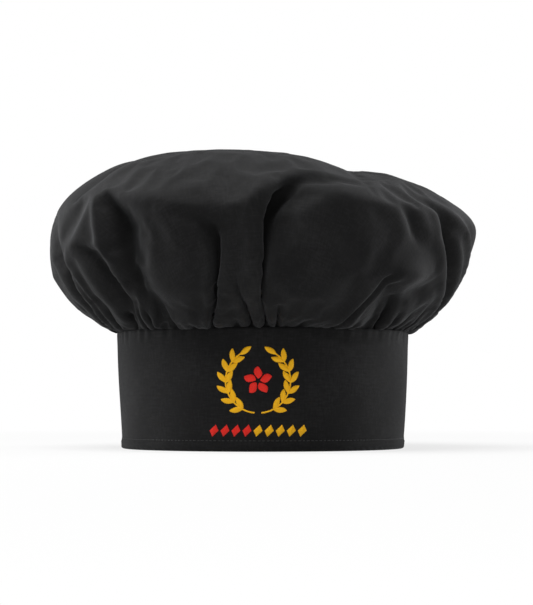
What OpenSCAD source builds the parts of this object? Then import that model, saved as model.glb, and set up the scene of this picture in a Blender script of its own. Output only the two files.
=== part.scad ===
// Chef toque: a soft gathered crown sewn into a straight stiffened headband, closed at the
// back by a hook-and-loop tab.  Millimetres, +Z up.  The origin is the centre of the head
// opening, on the plane of the bottom rim.  The front looks along -Y, the closure is at +Y.

/* [Headband] */
// Height of the headband
band_h = 74; // [60:1:100]
// Outside diameter of the headband at its bottom rim
rim_d = 181; // [165:1:205]
// Outside diameter of the headband at the crown seam
seam_d = 188.5; // [180:0.5:210]
// Thickness of the outer cloth
outer_t = 0.7; // [0.5:0.1:1]
// Thickness of the stiffening layer, and of the slot that holds the crown's edge
core_t = 1.2; // [1.1:0.1:1.6]
// Thickness of the lining cloth
lining_t = 0.6; // [0.4:0.1:1]
// Turned-up edge that is left without stiffening at the bottom
hem_fold = 1; // [0.5:0.1:3]

/* [Crown] */
// Width of the puffed crown from side to side
crown_w = 274; // [225:1:320]
// Depth of the puffed crown from front to back
crown_depth = 268; // [225:1:320]
// Height of the crown's highest point above the bottom rim
crown_top = 192; // [160:1:240]
// Height of the crown's widest line above the crown seam
bulge_rise = 50; // [30:1:70]
// How far the crown's right side sinks below its left side
crown_slump = 9; // [0:0.5:15]
// Thickness of the crown cloth
crown_t = 0.9; // [0.7:0.1:1]
// Number of soft gathers round the crown
gathers = 18; // [12:1:24]
// Depth of the gathers just above the seam
gather_depth = 2; // [0:0.1:3]
// Crown edge that is caught inside the headband
seam_allowance = 9; // [6:0.5:12]
// Width of the slit in the back of the crown, at the seam
slit_w = 3; // [2:0.5:3.5]
// Width of the cloth binding along each edge of the slit
binding_w = 6; // [4:0.5:9]

/* [Closure] */
// Length of the tab that peels open
tab_len = 68; // [50:1:80]
// Length of the sewn stretch that carries the tab
lap_len = 26; // [16:1:34]
// Height of the tab
tab_h = 58; // [40:1:62]
// Height of the tab's lower edge above the bottom rim
tab_z = 8; // [6:1:12]
// Radius of the tab's free corners
tab_corner = 9; // [3:0.5:14]
// Thickness of each of the tab's three layers
tab_layer_t = 0.4; // [0.3:0.1:0.6]
// Height of the hook strip and of the loop strip
strip_h = 25; // [16:1:38]
// Length of the hook strip
hook_len = 46; // [26:1:46]
// Thickness of the hook strip
hook_t = 0.9; // [0.6:0.1:1.4]
// Length of the loop strip
loop_len = 66; // [46:1:72]
// Thickness of the loop strip
loop_t = 1; // [0.6:0.1:1.4]
// Gap between the hook strip's end and the peel line
hook_setback = 16; // [16:1:20]

/* [Stitching and label] */
// Diameter of the sewing thread
thread_d = 0.5; // [0.3:0.05:0.8]
// Height of the hem stitching above the bottom rim
hem_stitch_z = 6.5; // [4:0.5:7]
// Distance from an edge to the line of stitching beside it
stitch_inset = 2.5; // [2:0.5:4]
// Width of the care label
label_w = 32; // [20:1:50]
// Height of the care label
label_h = 38; // [20:1:50]
// Thickness of the care label
label_t = 0.3; // [0.2:0.1:0.5]

/* [Emblem] */
// Distance of the emblem's middle from the front centre line, to the right
emblem_x = -2.5; // [-20:0.5:20]
// Height of the wreath's foot above the bottom rim
wreath_z = 23; // [20:0.5:26]
// Radius of the two wheat ears' curve
wreath_r = 19; // [14:0.5:22]
// Length of one wheat grain
grain_len = 8; // [5:0.5:10]
// Number of grain pairs on each ear
grain_pairs = 6; // [4:1:8]
// Diameter of the red flower
flower_d = 17; // [10:0.5:22]
// Height of the row of lozenges above the bottom rim
row_z = 12.5; // [11:0.5:14]
// Width of the row of lozenges
row_w = 60; // [40:1:80]
// Relief of the embroidery above the cloth
relief = 0.5; // [0.3:0.1:1]

/* [Hidden] */

// Clearance between cloths that lie on each other without touching
ply_gap = 0.3;
// Gap between sewn-down trim and the cloth under it
trim_gap = 0.1;
// Gap on each side of the stiffening between the two cloths
layer_gap = 0.1;
band_t = outer_t + core_t + lining_t;
seam_r = seam_d / 2;
cloth = "#242424";
cloth_inside = "#2c2c2c";
thread_colour = "#333333";
gold = "#f2b21c";
red = "#cf2a20";

// Angles about Z, with the back centre at 90 degrees.
back = 90;
mid_r = (rim_d + seam_d) / 4;
function arc(len) = len / mid_r * 180 / PI;
peel_angle = back + arc(tab_len / 2);
free_angle = peel_angle - arc(tab_len);
lap_angle = peel_angle + arc(lap_len);
hook_end = peel_angle - arc(hook_setback);
hook_start = hook_end - arc(hook_len);
loop_end = hook_end;
loop_start = loop_end - arc(loop_len);
strip_z = tab_z + (tab_h - strip_h) / 2;

// Radial build of the closure, outward from the band's face.
loop_in = trim_gap;
hook_in = loop_in + loop_t + ply_gap;
tab_in = hook_in + hook_t + trim_gap;
tab_out = tab_in + 3 * tab_layer_t;

// Outside radius of the headband at height z.
function band_r(z) = (rim_d + (seam_d - rim_d) * z / band_h) / 2;

// A wall that follows the band's cone, from angle a0 to a1, between two offsets from its face.
module cone_wall(inner, outer, z0, z1, a0 = 0, a1 = 360) {
    rotate_extrude(angle = a1 - a0, start = a0, $fn = 144)
        polygon([
            [band_r(z0) + inner, z0],
            [band_r(z0) + outer, z0],
            [band_r(z1) + outer, z1],
            [band_r(z1) + inner, z1]
        ]);
}

// A round thread laid along the band at height z, its centre at an offset from the band's face.
module thread_arc(offset, z, a0 = 0, a1 = 360) {
    rotate_extrude(angle = a1 - a0, start = a0, $fn = 144)
        translate([band_r(z) + offset, z])
            circle(d = thread_d, $fn = 16);
}

// A straight thread up the band's slope at angle a.
module thread_rise(offset, z0, z1, a) {
    slope = atan2(band_r(z1) - band_r(z0), z1 - z0);
    rotate([0, 0, a])
        translate([band_r(z0) + offset, 0, z0])
            rotate([0, slope, 0])
                cylinder(d = thread_d, h = (z1 - z0) / cos(slope), $fn = 16);
}

// A stitched rectangle: two arcs and two rises that stop just short of each other.
module thread_box(offset, z0, z1, a0, a1) {
    pause = arc(thread_d);
    thread_arc(offset, z0, a0 + pause, a1 - pause);
    thread_arc(offset, z1, a0 + pause, a1 - pause);
    thread_rise(offset, z0, z1, a0);
    thread_rise(offset, z0, z1, a1);
}

// ---- crown ------------------------------------------------------------------------------
columns = 72;
lip_rows = 2;
under_rows = 6;
dome_rows = 8;
rows = lip_rows + under_rows + dome_rows;
slit_rows = lip_rows + 5;
dome_power = 0.8;
under_straightness = 0.6;
lip_out = outer_t + (core_t - crown_t) / 2;
lip_r = seam_r - lip_out;
bulge_z = band_h + bulge_rise;
turn_z = band_h + ply_gap;
// Half the angle that the slit takes at the seam
slit_half = atan2(slit_w / 2, seam_r);

// Half-width of the crown in direction t: an ellipse in plan.
function plan_r(t) =
    1 / sqrt(pow(cos(t) / (crown_w / 2), 2) + pow(sin(t) / (crown_depth / 2), 2));

// The slump rises smoothly from nothing left of the middle to its full depth at the right.
function ease(v) = let (u = max(0, min(1, v))) u * u * (3 - 2 * u);
function slump(x) = crown_slump * ease((x + crown_w * 0.11) / (crown_w * 0.33));

// Profile of the crown in direction t: p runs -1..0 down the lip, 0..1 out under the puff
// from the seam to the bulge, and 1..2 over the dome to its middle.
function profile(t, p) =
    p < 0 ? [lip_r + (band_r(band_h + p * seam_allowance) - seam_r), turn_z + p * seam_allowance]
    : p < 1 ? [lip_r + (plan_r(t) - lip_r) * sin(90 * p),
        turn_z + (bulge_z - turn_z) * (under_straightness * p
            + (1 - under_straightness) * (1 - cos(90 * p)))]
    : [plan_r(t) * pow(max(0, cos(90 * (p - 1))), dome_power),
        bulge_z + (crown_top - bulge_z) * pow(sin(90 * (p - 1)), dome_power)];

// Depth of the gathers: none in the lip, most just above the seam, none at the top.
function fold(t, p) = p <= 0 || p >= 2 ? 0
    : gather_depth * sin(90 * min(1, p * 3)) * cos(45 * p) * cos(gathers * t);

// Outward direction of the profile in its own plane.
function outward(t, p) =
    let (step = 0.02,
        q = max(-1, min(1.98, p)),
        d = profile(t, q + step) - profile(t, q - step * (q > -1 ? 1 : 0)))
    [d[1], -d[0]] / norm(d);

// A point of the crown, set in from its outer face by depth.
function crown_point(t, p, depth) =
    let (o = outward(t, p),
        q = profile(t, p),
        r = p >= 2 ? 0 : q[0] - depth * o[0] + fold(t, p),
        z = q[1] - depth * (p >= 2 ? 1 : o[1]),
        x = r * cos(t))
    [x, r * sin(t), z - (p > 1 ? slump(x) * pow(sin(90 * (p - 1)), 2) : 0)];

function row_p(j) = j <= lip_rows ? j / lip_rows - 1
    : j <= lip_rows + under_rows ? (j - lip_rows) / under_rows
    : 1 + (j - lip_rows - under_rows) / dome_rows;

// The slit lies between the last column line and the first; it narrows towards its top.
function column_t(i, j) =
    let (narrow = j >= slit_rows ? 0.15 : 1 - 0.8 * max(0, j - lip_rows) / (slit_rows - lip_rows),
        half = slit_half * narrow)
    back + half + i * (360 - 2 * half) / (columns - 1);

module crown() {
    ring = [for (j = [0:rows - 1]) for (i = [0:columns - 1]) [i, j]];
    n = len(ring);
    outer_points = [for (c = ring) crown_point(column_t(c[0], c[1]), row_p(c[1]), 0)];
    inner_points = [for (c = ring) crown_point(column_t(c[0], c[1]), row_p(c[1]), crown_t)];
    tops = [crown_point(back, 2, 0), crown_point(back, 2, crown_t)];
    is_slit = function (i, j) i == columns - 1 && j < slit_rows;
    id = function (i, j) j * columns + i % columns;
    // Two triangles over a cell; the inner face takes them the other way round.
    cells = [for (j = [0:rows - 2]) for (i = [0:columns - 1]) if (!is_slit(i, j)) [i, j]];
    outer_faces = [for (c = cells) each [
        [id(c[0], c[1]), id(c[0], c[1] + 1), id(c[0] + 1, c[1] + 1)],
        [id(c[0], c[1]), id(c[0] + 1, c[1] + 1), id(c[0] + 1, c[1])]]];
    inner_faces = [for (f = outer_faces) [f[2] + n, f[1] + n, f[0] + n]];
    cap_faces = [for (i = [0:columns - 1]) each [
        [id(i, rows - 1), 2 * n, id(i + 1, rows - 1)],
        [id(i + 1, rows - 1) + n, 2 * n + 1, id(i, rows - 1) + n]]];
    // Walls along the raw lower edge, both sides of the slit and its upper end.
    edges = [
        for (i = [0:columns - 2]) [id(i + 1, 0), id(i, 0)],
        for (j = [0:slit_rows - 1]) [id(0, j), id(0, j + 1)],
        for (j = [0:slit_rows - 1]) [id(columns - 1, j + 1), id(columns - 1, j)],
        [id(0, slit_rows), id(columns - 1, slit_rows)]];
    walls = [for (e = edges) each [
        [e[1], e[0], e[0] + n],
        [e[1], e[0] + n, e[1] + n]]];
    color(cloth)
        polyhedron(concat(outer_points, inner_points, tops),
            concat(outer_faces, inner_faces, cap_faces, walls), convexity = 8);
}

// A thin strip that lies on the crown's outer face over a range of directions and heights.
module crown_patch(t0, t1, p0, p1, low, high) {
    across = 2;
    along = 8;
    n = (across + 1) * (along + 1);
    id = function (i, j, face) face * n + j * (across + 1) + i;
    points = [for (depth = [-high, -low]) for (j = [0:along]) for (i = [0:across])
        crown_point(t0 + (t1 - t0) * i / across, p0 + (p1 - p0) * j / along, depth)];
    sheet = [for (j = [0:along - 1]) for (i = [0:across - 1]) each [
        [id(i, j, 0), id(i, j + 1, 0), id(i + 1, j + 1, 0)],
        [id(i, j, 0), id(i + 1, j + 1, 0), id(i + 1, j, 0)]]];
    back_sheet = [for (f = sheet) [f[2] + n, f[1] + n, f[0] + n]];
    rim = concat(
        [for (i = [0:across - 1]) [id(i + 1, 0, 0), id(i, 0, 0)]],
        [for (i = [0:across - 1]) [id(i, along, 0), id(i + 1, along, 0)]],
        [for (j = [0:along - 1]) [id(0, j, 0), id(0, j + 1, 0)]],
        [for (j = [0:along - 1]) [id(across, j + 1, 0), id(across, j, 0)]]);
    rim_faces = [for (e = rim) each [[e[1], e[0], e[0] + n], [e[1], e[0] + n, e[1] + n]]];
    polyhedron(points, concat(sheet, back_sheet, rim_faces), convexity = 4);
}

// Cloth binding on each side of the slit.
module slit_binding() {
    wide = arc(binding_w);
    foot = 0.12;
    head = (slit_rows - lip_rows) / under_rows + 0.1;
    color(cloth_inside) {
        crown_patch(back - slit_half - wide, back - slit_half - 0.2, foot, head, 0.4, 1);
        crown_patch(back + slit_half + 0.2, back + slit_half + wide, foot, head, 0.4, 1);
    }
}

// ---- headband ---------------------------------------------------------------------------
module headband_outer() {
    color(cloth)
        cone_wall(-outer_t, 0, 0, band_h);
}

module headband_interfacing() {
    color("#d8d4ca")
        cone_wall(-outer_t - core_t + layer_gap, -outer_t - layer_gap, hem_fold,
            band_h - seam_allowance - 1);
}

module headband_lining() {
    color(cloth_inside)
        cone_wall(-band_t, -outer_t - core_t, hem_fold / 2, band_h - hem_fold / 2);
}

module crown_seam_stitching() {
    color(thread_colour)
        thread_arc(-band_t - trim_gap - thread_d / 2, band_h - stitch_inset);
}

module hem_stitching() {
    color(thread_colour)
        thread_arc(trim_gap + thread_d / 2, hem_stitch_z);
}

// ---- closure: fixed side ----------------------------------------------------------------
module loop_strip() {
    color("#1b1b1b")
        cone_wall(loop_in, loop_in + loop_t, strip_z, strip_z + strip_h, loop_start, loop_end);
}

// The loop strip's stitching shows on the lining, behind the strip.
module loop_strip_stitching() {
    inset = arc(stitch_inset);
    color(thread_colour)
        thread_box(-band_t - trim_gap - thread_d / 2, strip_z + stitch_inset,
            strip_z + strip_h - stitch_inset, loop_start + inset, loop_end - inset);
}

// A blank label that hangs from the crown seam inside the band, beside the closure.
module care_label() {
    start = lap_angle + arc(4);
    top = band_h - stitch_inset - thread_d;
    color("#e8e6e0")
        cone_wall(-band_t - trim_gap - label_t, -band_t - trim_gap, top - label_h, top,
            start, start + arc(label_w));
}

// ---- emblem: two wheat ears, a flower and a row of lozenges -------------------------------
// A grain or petal with pointed ends, lying along +X from the origin.
module leaf(length, width) {
    steps = 5;
    edge = [for (i = [0:steps]) [length * i / steps, width / 2 * sin(180 * i / steps)]];
    polygon(concat(edge, [for (i = [steps - 1:-1:1]) [edge[i][0], -edge[i][1]]]));
}

// One ear: grains in pairs along an arc that rises from the wreath's foot, and a last one.
module wheat_ear() {
    sweep_angle = 118;
    grain_w = grain_len * 0.36;
    for (k = [0:grain_pairs - 1]) {
        a = -62 + sweep_angle * k / grain_pairs;
        translate([wreath_r * cos(a), wreath_r * sin(a)]) {
            rotate(a + 90 - 32)
                translate([0.6, 0])
                    leaf(grain_len, grain_w);
            rotate(a + 90 + 32)
                translate([0.6, 0])
                    leaf(grain_len, grain_w);
        }
    }
    tip = -62 + sweep_angle;
    rotate(tip)
        translate([wreath_r, 0])
            rotate(90)
                leaf(grain_len, grain_w);
}

// Lozenges across the row, from one number to another.
module lozenges(from, to) {
    count = 9;
    pitch = row_w / count;
    for (k = [from:to])
        translate([(k - (count - 1) / 2) * pitch, row_z])
            polygon([[-pitch * 0.4, 0], [0, -3.6], [pitch * 0.4, 0], [0, 3.6]]);
}

// Presses a flat drawing on to the front of the band.
module on_band() {
    intersection() {
        cone_wall(trim_gap, trim_gap + relief, hem_stitch_z, band_h);
        rotate([90, 0, 0])
            linear_extrude(seam_d)
                translate([emblem_x, 0])
                    children();
    }
}

module emblem_wheat() {
    color(gold)
        on_band() {
            for (side = [0, 1])
                translate([0, wreath_z + wreath_r])
                    mirror([side, 0])
                        wheat_ear();
            lozenges(4, 8);
        }
}

module emblem_flower() {
    petals = 5;
    color(red)
        on_band() {
            for (k = [0:petals - 1])
                translate([0, wreath_z + wreath_r])
                    rotate(90 + k * 360 / petals)
                        translate([flower_d * 0.08, 0])
                            leaf(flower_d * 0.42, flower_d * 0.26);
            lozenges(0, 3);
        }
}

// ---- closure: the lapping end and its tab --------------------------------------------------
// The sewn root of the overlapping end, thick with its turned-in seam.
module lap_end() {
    color(cloth)
        cone_wall(ply_gap, tab_out, tab_z, tab_z + tab_h, peel_angle + arc(ply_gap), lap_angle);
}

module lap_stitching() {
    color(thread_colour)
        for (a = [lap_angle - arc(stitch_inset), lap_angle - arc(3 * stitch_inset)])
            thread_rise(tab_out + trim_gap + thread_d / 2, tab_z + stitch_inset,
                tab_z + tab_h - stitch_inset, a);
}

// One layer of the tab, with its two free corners rounded.
module tab_layer(inner, outer) {
    difference() {
        cone_wall(inner, outer, tab_z, tab_z + tab_h, free_angle, peel_angle);
        corner_cutter(tab_z + tab_corner, 1);
        corner_cutter(tab_z + tab_h - tab_corner, -1);
    }
}

// What rounding takes off a free corner: a square block less a disc, pointing outward.  The
// disc is a little wider than the corner, so that it crosses both edges instead of grazing
// them.  down is 1 for a lower corner and -1 for an upper one.
module corner_cutter(z, down) {
    block = 2 * tab_corner;
    reach = 24;
    rotate([0, 0, free_angle + arc(tab_corner)])
        translate([mid_r - reach / 2, 0, z])
            rotate([0, 90, 0])
                difference() {
                    translate([down > 0 ? 0 : -block, -block, 0])
                        cube([block, block, reach]);
                    translate([0, 0, -1])
                        cylinder(r = tab_corner * 1.05, h = reach + 2, $fn = 48);
                }
}

module tab_outer() {
    color(cloth)
        tab_layer(tab_in + 2 * tab_layer_t, tab_out);
}

module tab_interfacing() {
    color("#d8d4ca")
        tab_layer(tab_in + tab_layer_t, tab_in + 2 * tab_layer_t);
}

module tab_lining() {
    color(cloth_inside)
        tab_layer(tab_in, tab_in + tab_layer_t);
}

module tab_edge_stitching() {
    offset = tab_out + trim_gap + thread_d / 2;
    color(thread_colour) {
        for (z = [tab_z + stitch_inset, tab_z + tab_h - stitch_inset])
            thread_arc(offset, z, free_angle + arc(tab_corner), peel_angle - arc(stitch_inset));
        thread_rise(offset, tab_z + tab_corner, tab_z + tab_h - tab_corner,
            free_angle + arc(stitch_inset));
    }
}

module hook_strip() {
    color("#151515")
        cone_wall(hook_in, hook_in + hook_t, strip_z, strip_z + strip_h, hook_start, hook_end);
}

module hook_strip_stitching() {
    inset = arc(stitch_inset);
    color(thread_colour)
        thread_box(tab_out + trim_gap + thread_d / 2, strip_z + stitch_inset,
            strip_z + strip_h - stitch_inset, hook_start + inset, hook_end - inset);
}

crown();
slit_binding();
headband_outer();
headband_interfacing();
headband_lining();
crown_seam_stitching();
hem_stitching();
loop_strip();
loop_strip_stitching();
care_label();
emblem_wheat();
emblem_flower();
lap_end();
lap_stitching();
tab_outer();
tab_interfacing();
tab_lining();
tab_edge_stitching();
hook_strip();
hook_strip_stitching();
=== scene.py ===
# %% [markdown]
# # A chef's toque in black poplin
#
# A toque is two pieces of cloth with opposite jobs.  The headband is stiffened and pressed, so it
# stands as a plain wall.  The crown is one soft round of cloth, far wider than the band, that is
# gathered into the band's upper edge and falls where it likes.  Everything that makes the hat look
# real comes from that contrast, so this lesson builds the stiff pieces as exact swept profiles and
# the soft one as a folded surface that a cloth simulation then relaxes.

# %% Load the frame
import math

import bpy
import numpy as np
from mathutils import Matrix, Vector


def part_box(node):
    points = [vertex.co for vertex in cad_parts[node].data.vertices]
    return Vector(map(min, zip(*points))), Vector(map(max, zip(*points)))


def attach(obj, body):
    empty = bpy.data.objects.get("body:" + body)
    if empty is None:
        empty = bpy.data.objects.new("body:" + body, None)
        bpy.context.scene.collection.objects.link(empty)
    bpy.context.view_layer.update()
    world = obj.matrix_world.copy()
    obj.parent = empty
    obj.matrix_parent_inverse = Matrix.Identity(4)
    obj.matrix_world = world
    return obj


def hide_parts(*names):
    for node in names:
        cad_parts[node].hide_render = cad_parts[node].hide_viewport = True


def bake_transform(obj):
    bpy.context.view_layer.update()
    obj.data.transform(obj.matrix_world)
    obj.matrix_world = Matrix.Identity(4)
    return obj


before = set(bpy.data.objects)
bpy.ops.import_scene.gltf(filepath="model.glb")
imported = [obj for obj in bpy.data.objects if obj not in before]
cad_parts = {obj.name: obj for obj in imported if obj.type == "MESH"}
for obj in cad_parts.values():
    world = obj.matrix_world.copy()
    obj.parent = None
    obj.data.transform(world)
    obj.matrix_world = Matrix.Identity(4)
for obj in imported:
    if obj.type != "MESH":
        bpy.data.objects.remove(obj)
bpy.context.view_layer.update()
MM = 0.001

# %% [markdown]
# The camera comes first, because every later choice is judged through it.  It stands about a metre
# away at the height of the headband and looks slightly up, so the bottom rim shows almost as a
# straight line and the puffed crown rises over the viewer's eye.

# %% The camera
eye_distance = 1.05
eye_height = 0.027
aim_height = 0.0945
camera = bpy.data.objects.new("camera", bpy.data.cameras.new("camera"))
bpy.context.collection.objects.link(camera)
camera.location = (0.0025, -eye_distance, eye_height)
camera.rotation_euler = (math.pi / 2 + math.atan2(aim_height - eye_height, eye_distance), 0, 0)
camera.data.sensor_width = 36
camera.data.lens = 96
bpy.context.scene.camera = camera
bpy.context.scene.view_settings.view_transform = "Standard"

# %% [markdown]
# Every piece that lies on the headband needs the same two facts: where a CAD piece starts and ends
# round the band, and where the band's face is at a given angle and height.  The first is read from
# the CAD piece itself.  The second is a cone with the small waves that pressed cloth keeps: shallow
# rolls along the wall, a pucker under the crown seam and a groove along the hem stitches.  The
# waves fade out at the back, where the closure has to slide.


# %% Where things are on the band
def span(node):
    """Angles (radians, from +X), heights and radii that a CAD node covers, as (low, high) pairs."""
    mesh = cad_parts[node].data
    points = np.empty(len(mesh.vertices) * 3, np.float32)
    mesh.vertices.foreach_get("co", points)
    points = points.reshape(-1, 3).astype(float)
    angle = np.arctan2(points[:, 1], points[:, 0])
    radius = np.hypot(points[:, 0], points[:, 1])
    return {"angle": (angle.min(), angle.max()), "z": (points[:, 2].min(), points[:, 2].max()),
            "radius": (radius.min(), radius.max()), "points": points}


def smooth(low, high, x):
    """0 below low, 1 above high, and a smooth S-curve between them."""
    t = np.clip((x - low) / (high - low), 0, 1)
    return t * t * (3 - 2 * t)


band = span("headband_outer")
band_top = band["z"][1]
at_rim = np.hypot(*band["points"][band["points"][:, 2] < 1 * MM][:, :2].T).max()
at_seam = band["radius"][1]
closure_reach = math.radians(62)
hem_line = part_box("hem_stitching")[0][2] + 0.25 * MM
BACK = math.pi / 2
FRONT = -math.pi / 2
print(f"band: {at_rim / MM:.1f} mm at the rim, {at_seam / MM:.1f} mm at the seam,",
      f"{band_top / MM:.0f} mm high")


def walked_along(path):
    """Distance walked at each point of a path, starting from 0."""
    return np.concatenate([[0], np.cumsum(np.linalg.norm(np.diff(path, axis=0), axis=1))])


def from_back(angle):
    """Angle from the centre of the back, from 0 to half a turn."""
    return np.abs((angle - BACK + math.pi) % (2 * math.pi) - math.pi)


def leaning_line(degrees):
    """How far below the seam the slack fold at the front left of the wearer begins."""
    return np.interp(degrees, (8, 34, 52, 80), (-2, 10.5, 8, -2)) * MM


def band_wave(angle, z):
    """How far the band's face stands out of its cone: slow rolls that are strongest half way up,
    plus a pucker that grows towards the crown seam, plus the hem's raised fold with its groove and
    the slanting ropes that the needle drags into it.  The rolls only stand out, never in, because
    the stiffening is right behind the cloth.  All of it fades at the closure."""
    share = z / band_top
    rolls = 0.55 * np.sin(3 * angle + 0.6) + 0.35 * np.sin(5 * angle + 2.1 + 2 * share) \
        + 0.2 * np.sin(11 * angle - 3 * share)
    belly = (rolls + 0.6) * np.sin(np.pi * np.clip(share, 0, 1)) ** 0.7
    pucker = smooth(0.86, 1.0, share) * (0.28 * np.sin(47 * angle + np.sin(5 * angle) * 3)
                                         + 0.2 * np.sin(83 * angle + 1.3) - 0.15)
    degrees = np.degrees(angle - FRONT)
    drop = np.maximum(leaning_line(degrees), 0.1 * MM)
    leaning = 1.5 * smooth(band_top - drop, band_top + 0.25 * drop, z) * smooth(10, 30, degrees) \
        * smooth(84, 60, degrees)
    above_hem = (z - hem_line) / MM
    groove = -0.3 * np.exp(-(above_hem / 0.75) ** 2)
    fold = 0.55 * smooth(0.6, -0.9, above_hem)
    ropes = 0.24 * smooth(1.5, -1.5, above_hem) * np.sin(110 * angle + 9 * above_hem / 6
                                                          + 2 * np.sin(13 * angle))
    away = smooth(closure_reach * 0.8, closure_reach * 1.25, from_back(angle))
    return (belly * away + leaning + pucker * (0.3 + 0.7 * away) + groove + (fold + ropes) * away) * MM


def cone_radius(z):
    """Radius of the band's cone at a height."""
    return at_rim + (at_seam - at_rim) * z / band_top


def on_band(angle, z, lift, waves=1):
    """Points that stand lift proud of the band's outer face, which carries a share of the waves."""
    radius = cone_radius(z) + lift + waves * band_wave(angle, np.clip(z, 0, band_top))
    return np.stack(np.broadcast_arrays(radius * np.cos(angle), radius * np.sin(angle), z), axis=-1)


# %% [markdown]
# All the new pieces are grids of points, so one function turns a grid into a mesh.  It can close
# the grid round the band, weld chosen points together (a pole, or a seam that opens further down)
# and lay a UV map in real metres, which lets a weave keep its true thread size on every piece.


# %% A grid of points becomes a mesh
def surface(name, points, uv=None, closed=False, weld=None, hollow=None):
    """points is an array (rows, columns, 3) and uv (rows, columns, 2), with one more column when
    closed.  Each cell becomes a face; a cell whose upper edge was welded to a point becomes a
    triangle.  hollow, one number per point, is kept as an attribute that the material turns into
    painted shade."""
    rows, columns = points.shape[:2]
    index = np.arange(rows * columns).reshape(rows, columns)
    if weld is not None:
        index = weld(index)
    if closed:
        index = np.hstack([index, index[:, :1]])

    def corners(grid):
        cell = [grid[:-1, :-1], grid[:-1, 1:], grid[1:, 1:], grid[1:, :-1]]
        return np.stack(cell, axis=2).reshape(-1, 4, *grid.shape[2:])

    cells = corners(index)
    used, cells = np.unique(cells, return_inverse=True)
    cells = cells.reshape(-1, 4)
    pole = cells[:, 2] == cells[:, 3]
    quads, triangles = cells[~pole], cells[pole][:, :3]
    mesh = bpy.data.meshes.new(name)
    mesh.from_pydata(points.reshape(-1, 3)[used].tolist(), [], quads.tolist() + triangles.tolist())
    if uv is not None:
        cell_uv = corners(uv)
        loop_uv = np.concatenate([cell_uv[~pole].reshape(-1, 2), cell_uv[pole][:, :3].reshape(-1, 2)])
        layer = mesh.uv_layers.new(name="cloth")
        layer.data.foreach_set("uv", loop_uv.astype(np.float32).ravel())
    if hollow is not None:
        layer = mesh.attributes.new("hollow", "FLOAT", "POINT")
        layer.data.foreach_set("value", hollow.ravel()[used].astype(np.float32))
    mesh.validate()
    return smooth_piece(name, mesh)


def smooth_piece(name, mesh):
    """Puts a mesh into the scene as a smoothly shaded object."""
    mesh.polygons.foreach_set("use_smooth", [True] * len(mesh.polygons))
    piece = bpy.data.objects.new(name, mesh)
    bpy.context.collection.objects.link(piece)
    return piece


def thicken(piece, thickness, offset=-1.0):
    """Cloth has two faces: Solidify adds the second one, on the inside unless offset says else."""
    wall = piece.modifiers.new("cloth thickness", "SOLIDIFY")
    wall.thickness = thickness
    wall.offset = offset
    wall.use_quality_normals = True
    return piece


def finish_piece(piece, material, body, slot, *nodes):
    """Gives a piece its material and its body, and hides the CAD nodes that it stands for.
    slot is not used.
    """
    piece.data.materials.append(material)
    if body:
        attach(piece, body)
    if nodes:
        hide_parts(*nodes)
    print(f"{piece.name}: {len(piece.data.polygons)} faces")
    return piece


# %% [markdown]
# ## Cloth finishes
#
# Poplin is a plain weave with fine, tight threads.  From a step away no thread can be made out,
# but the cloth is never one flat tone: thick places in the yarn run as short dashes along both
# directions, the dye sits unevenly, and lint and rubbing lighten the ridges.  One node group works
# all of that out from the UV map, in metres, and every black cloth uses it with its own values.


# %% Node helpers
def new_group(name, inputs, outputs):
    """An empty node group: inputs are (name, kind, value) and outputs (name, kind)."""
    group = bpy.data.node_groups.new(name, "ShaderNodeTree")
    for label, kind, value in inputs:
        socket = group.interface.new_socket(label, in_out="INPUT", socket_type=kind)
        if value is not None:
            socket.default_value = value
    for label, kind in outputs:
        group.interface.new_socket(label, in_out="OUTPUT", socket_type=kind)
    return group, group.nodes.new("NodeGroupInput"), group.nodes.new("NodeGroupOutput")


class Wires:
    """Short calls for the nodes that a pattern is made of."""

    def __init__(self, tree):
        self.tree = tree

    def add(self, kind, settings=None, **sockets):
        node = self.tree.nodes.new(kind)
        for key, value in (settings or {}).items():
            setattr(node, key, value)
        for key, value in sockets.items():
            self.put(node.inputs[key.replace("_", " ")], value)
        return node

    def put(self, socket, value):
        if isinstance(value, bpy.types.NodeSocket):
            self.tree.links.new(value, socket)
        else:
            socket.default_value = value

    def math(self, operation, a, b=0.5, clamp=False):
        node = self.add("ShaderNodeMath", {"operation": operation, "use_clamp": clamp})
        self.put(node.inputs[0], a)
        self.put(node.inputs[1], b)
        return node.outputs[0]

    def noise(self, vector, scale, detail=2.0, roughness=0.5):
        node = self.add("ShaderNodeTexNoise", None, Vector=vector, Scale=scale, Detail=detail,
                        Roughness=roughness)
        return node.outputs["Fac"]

    def stretch(self, vector, scale):
        node = self.add("ShaderNodeMapping", None, Vector=vector)
        node.inputs["Scale"].default_value = scale
        return node.outputs[0]

    def blend(self, factor, a, b):
        node = self.add("ShaderNodeMix", {"data_type": "RGBA"})
        self.put(node.inputs[0], factor)
        self.put(node.inputs[6], a)
        self.put(node.inputs[7], b)
        return node.outputs[2]

    def ramp(self, factor, low, high):
        node = self.add("ShaderNodeMapRange", None, Value=factor)
        node.inputs["From Min"].default_value = low
        node.inputs["From Max"].default_value = high
        return node.outputs[0]


def new_material(name):
    """A material, the wires of its node tree and its shader."""
    material = bpy.data.materials.new(name)
    material.use_nodes = True
    return material, Wires(material.node_tree), material.node_tree.nodes["Principled BSDF"]


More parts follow.
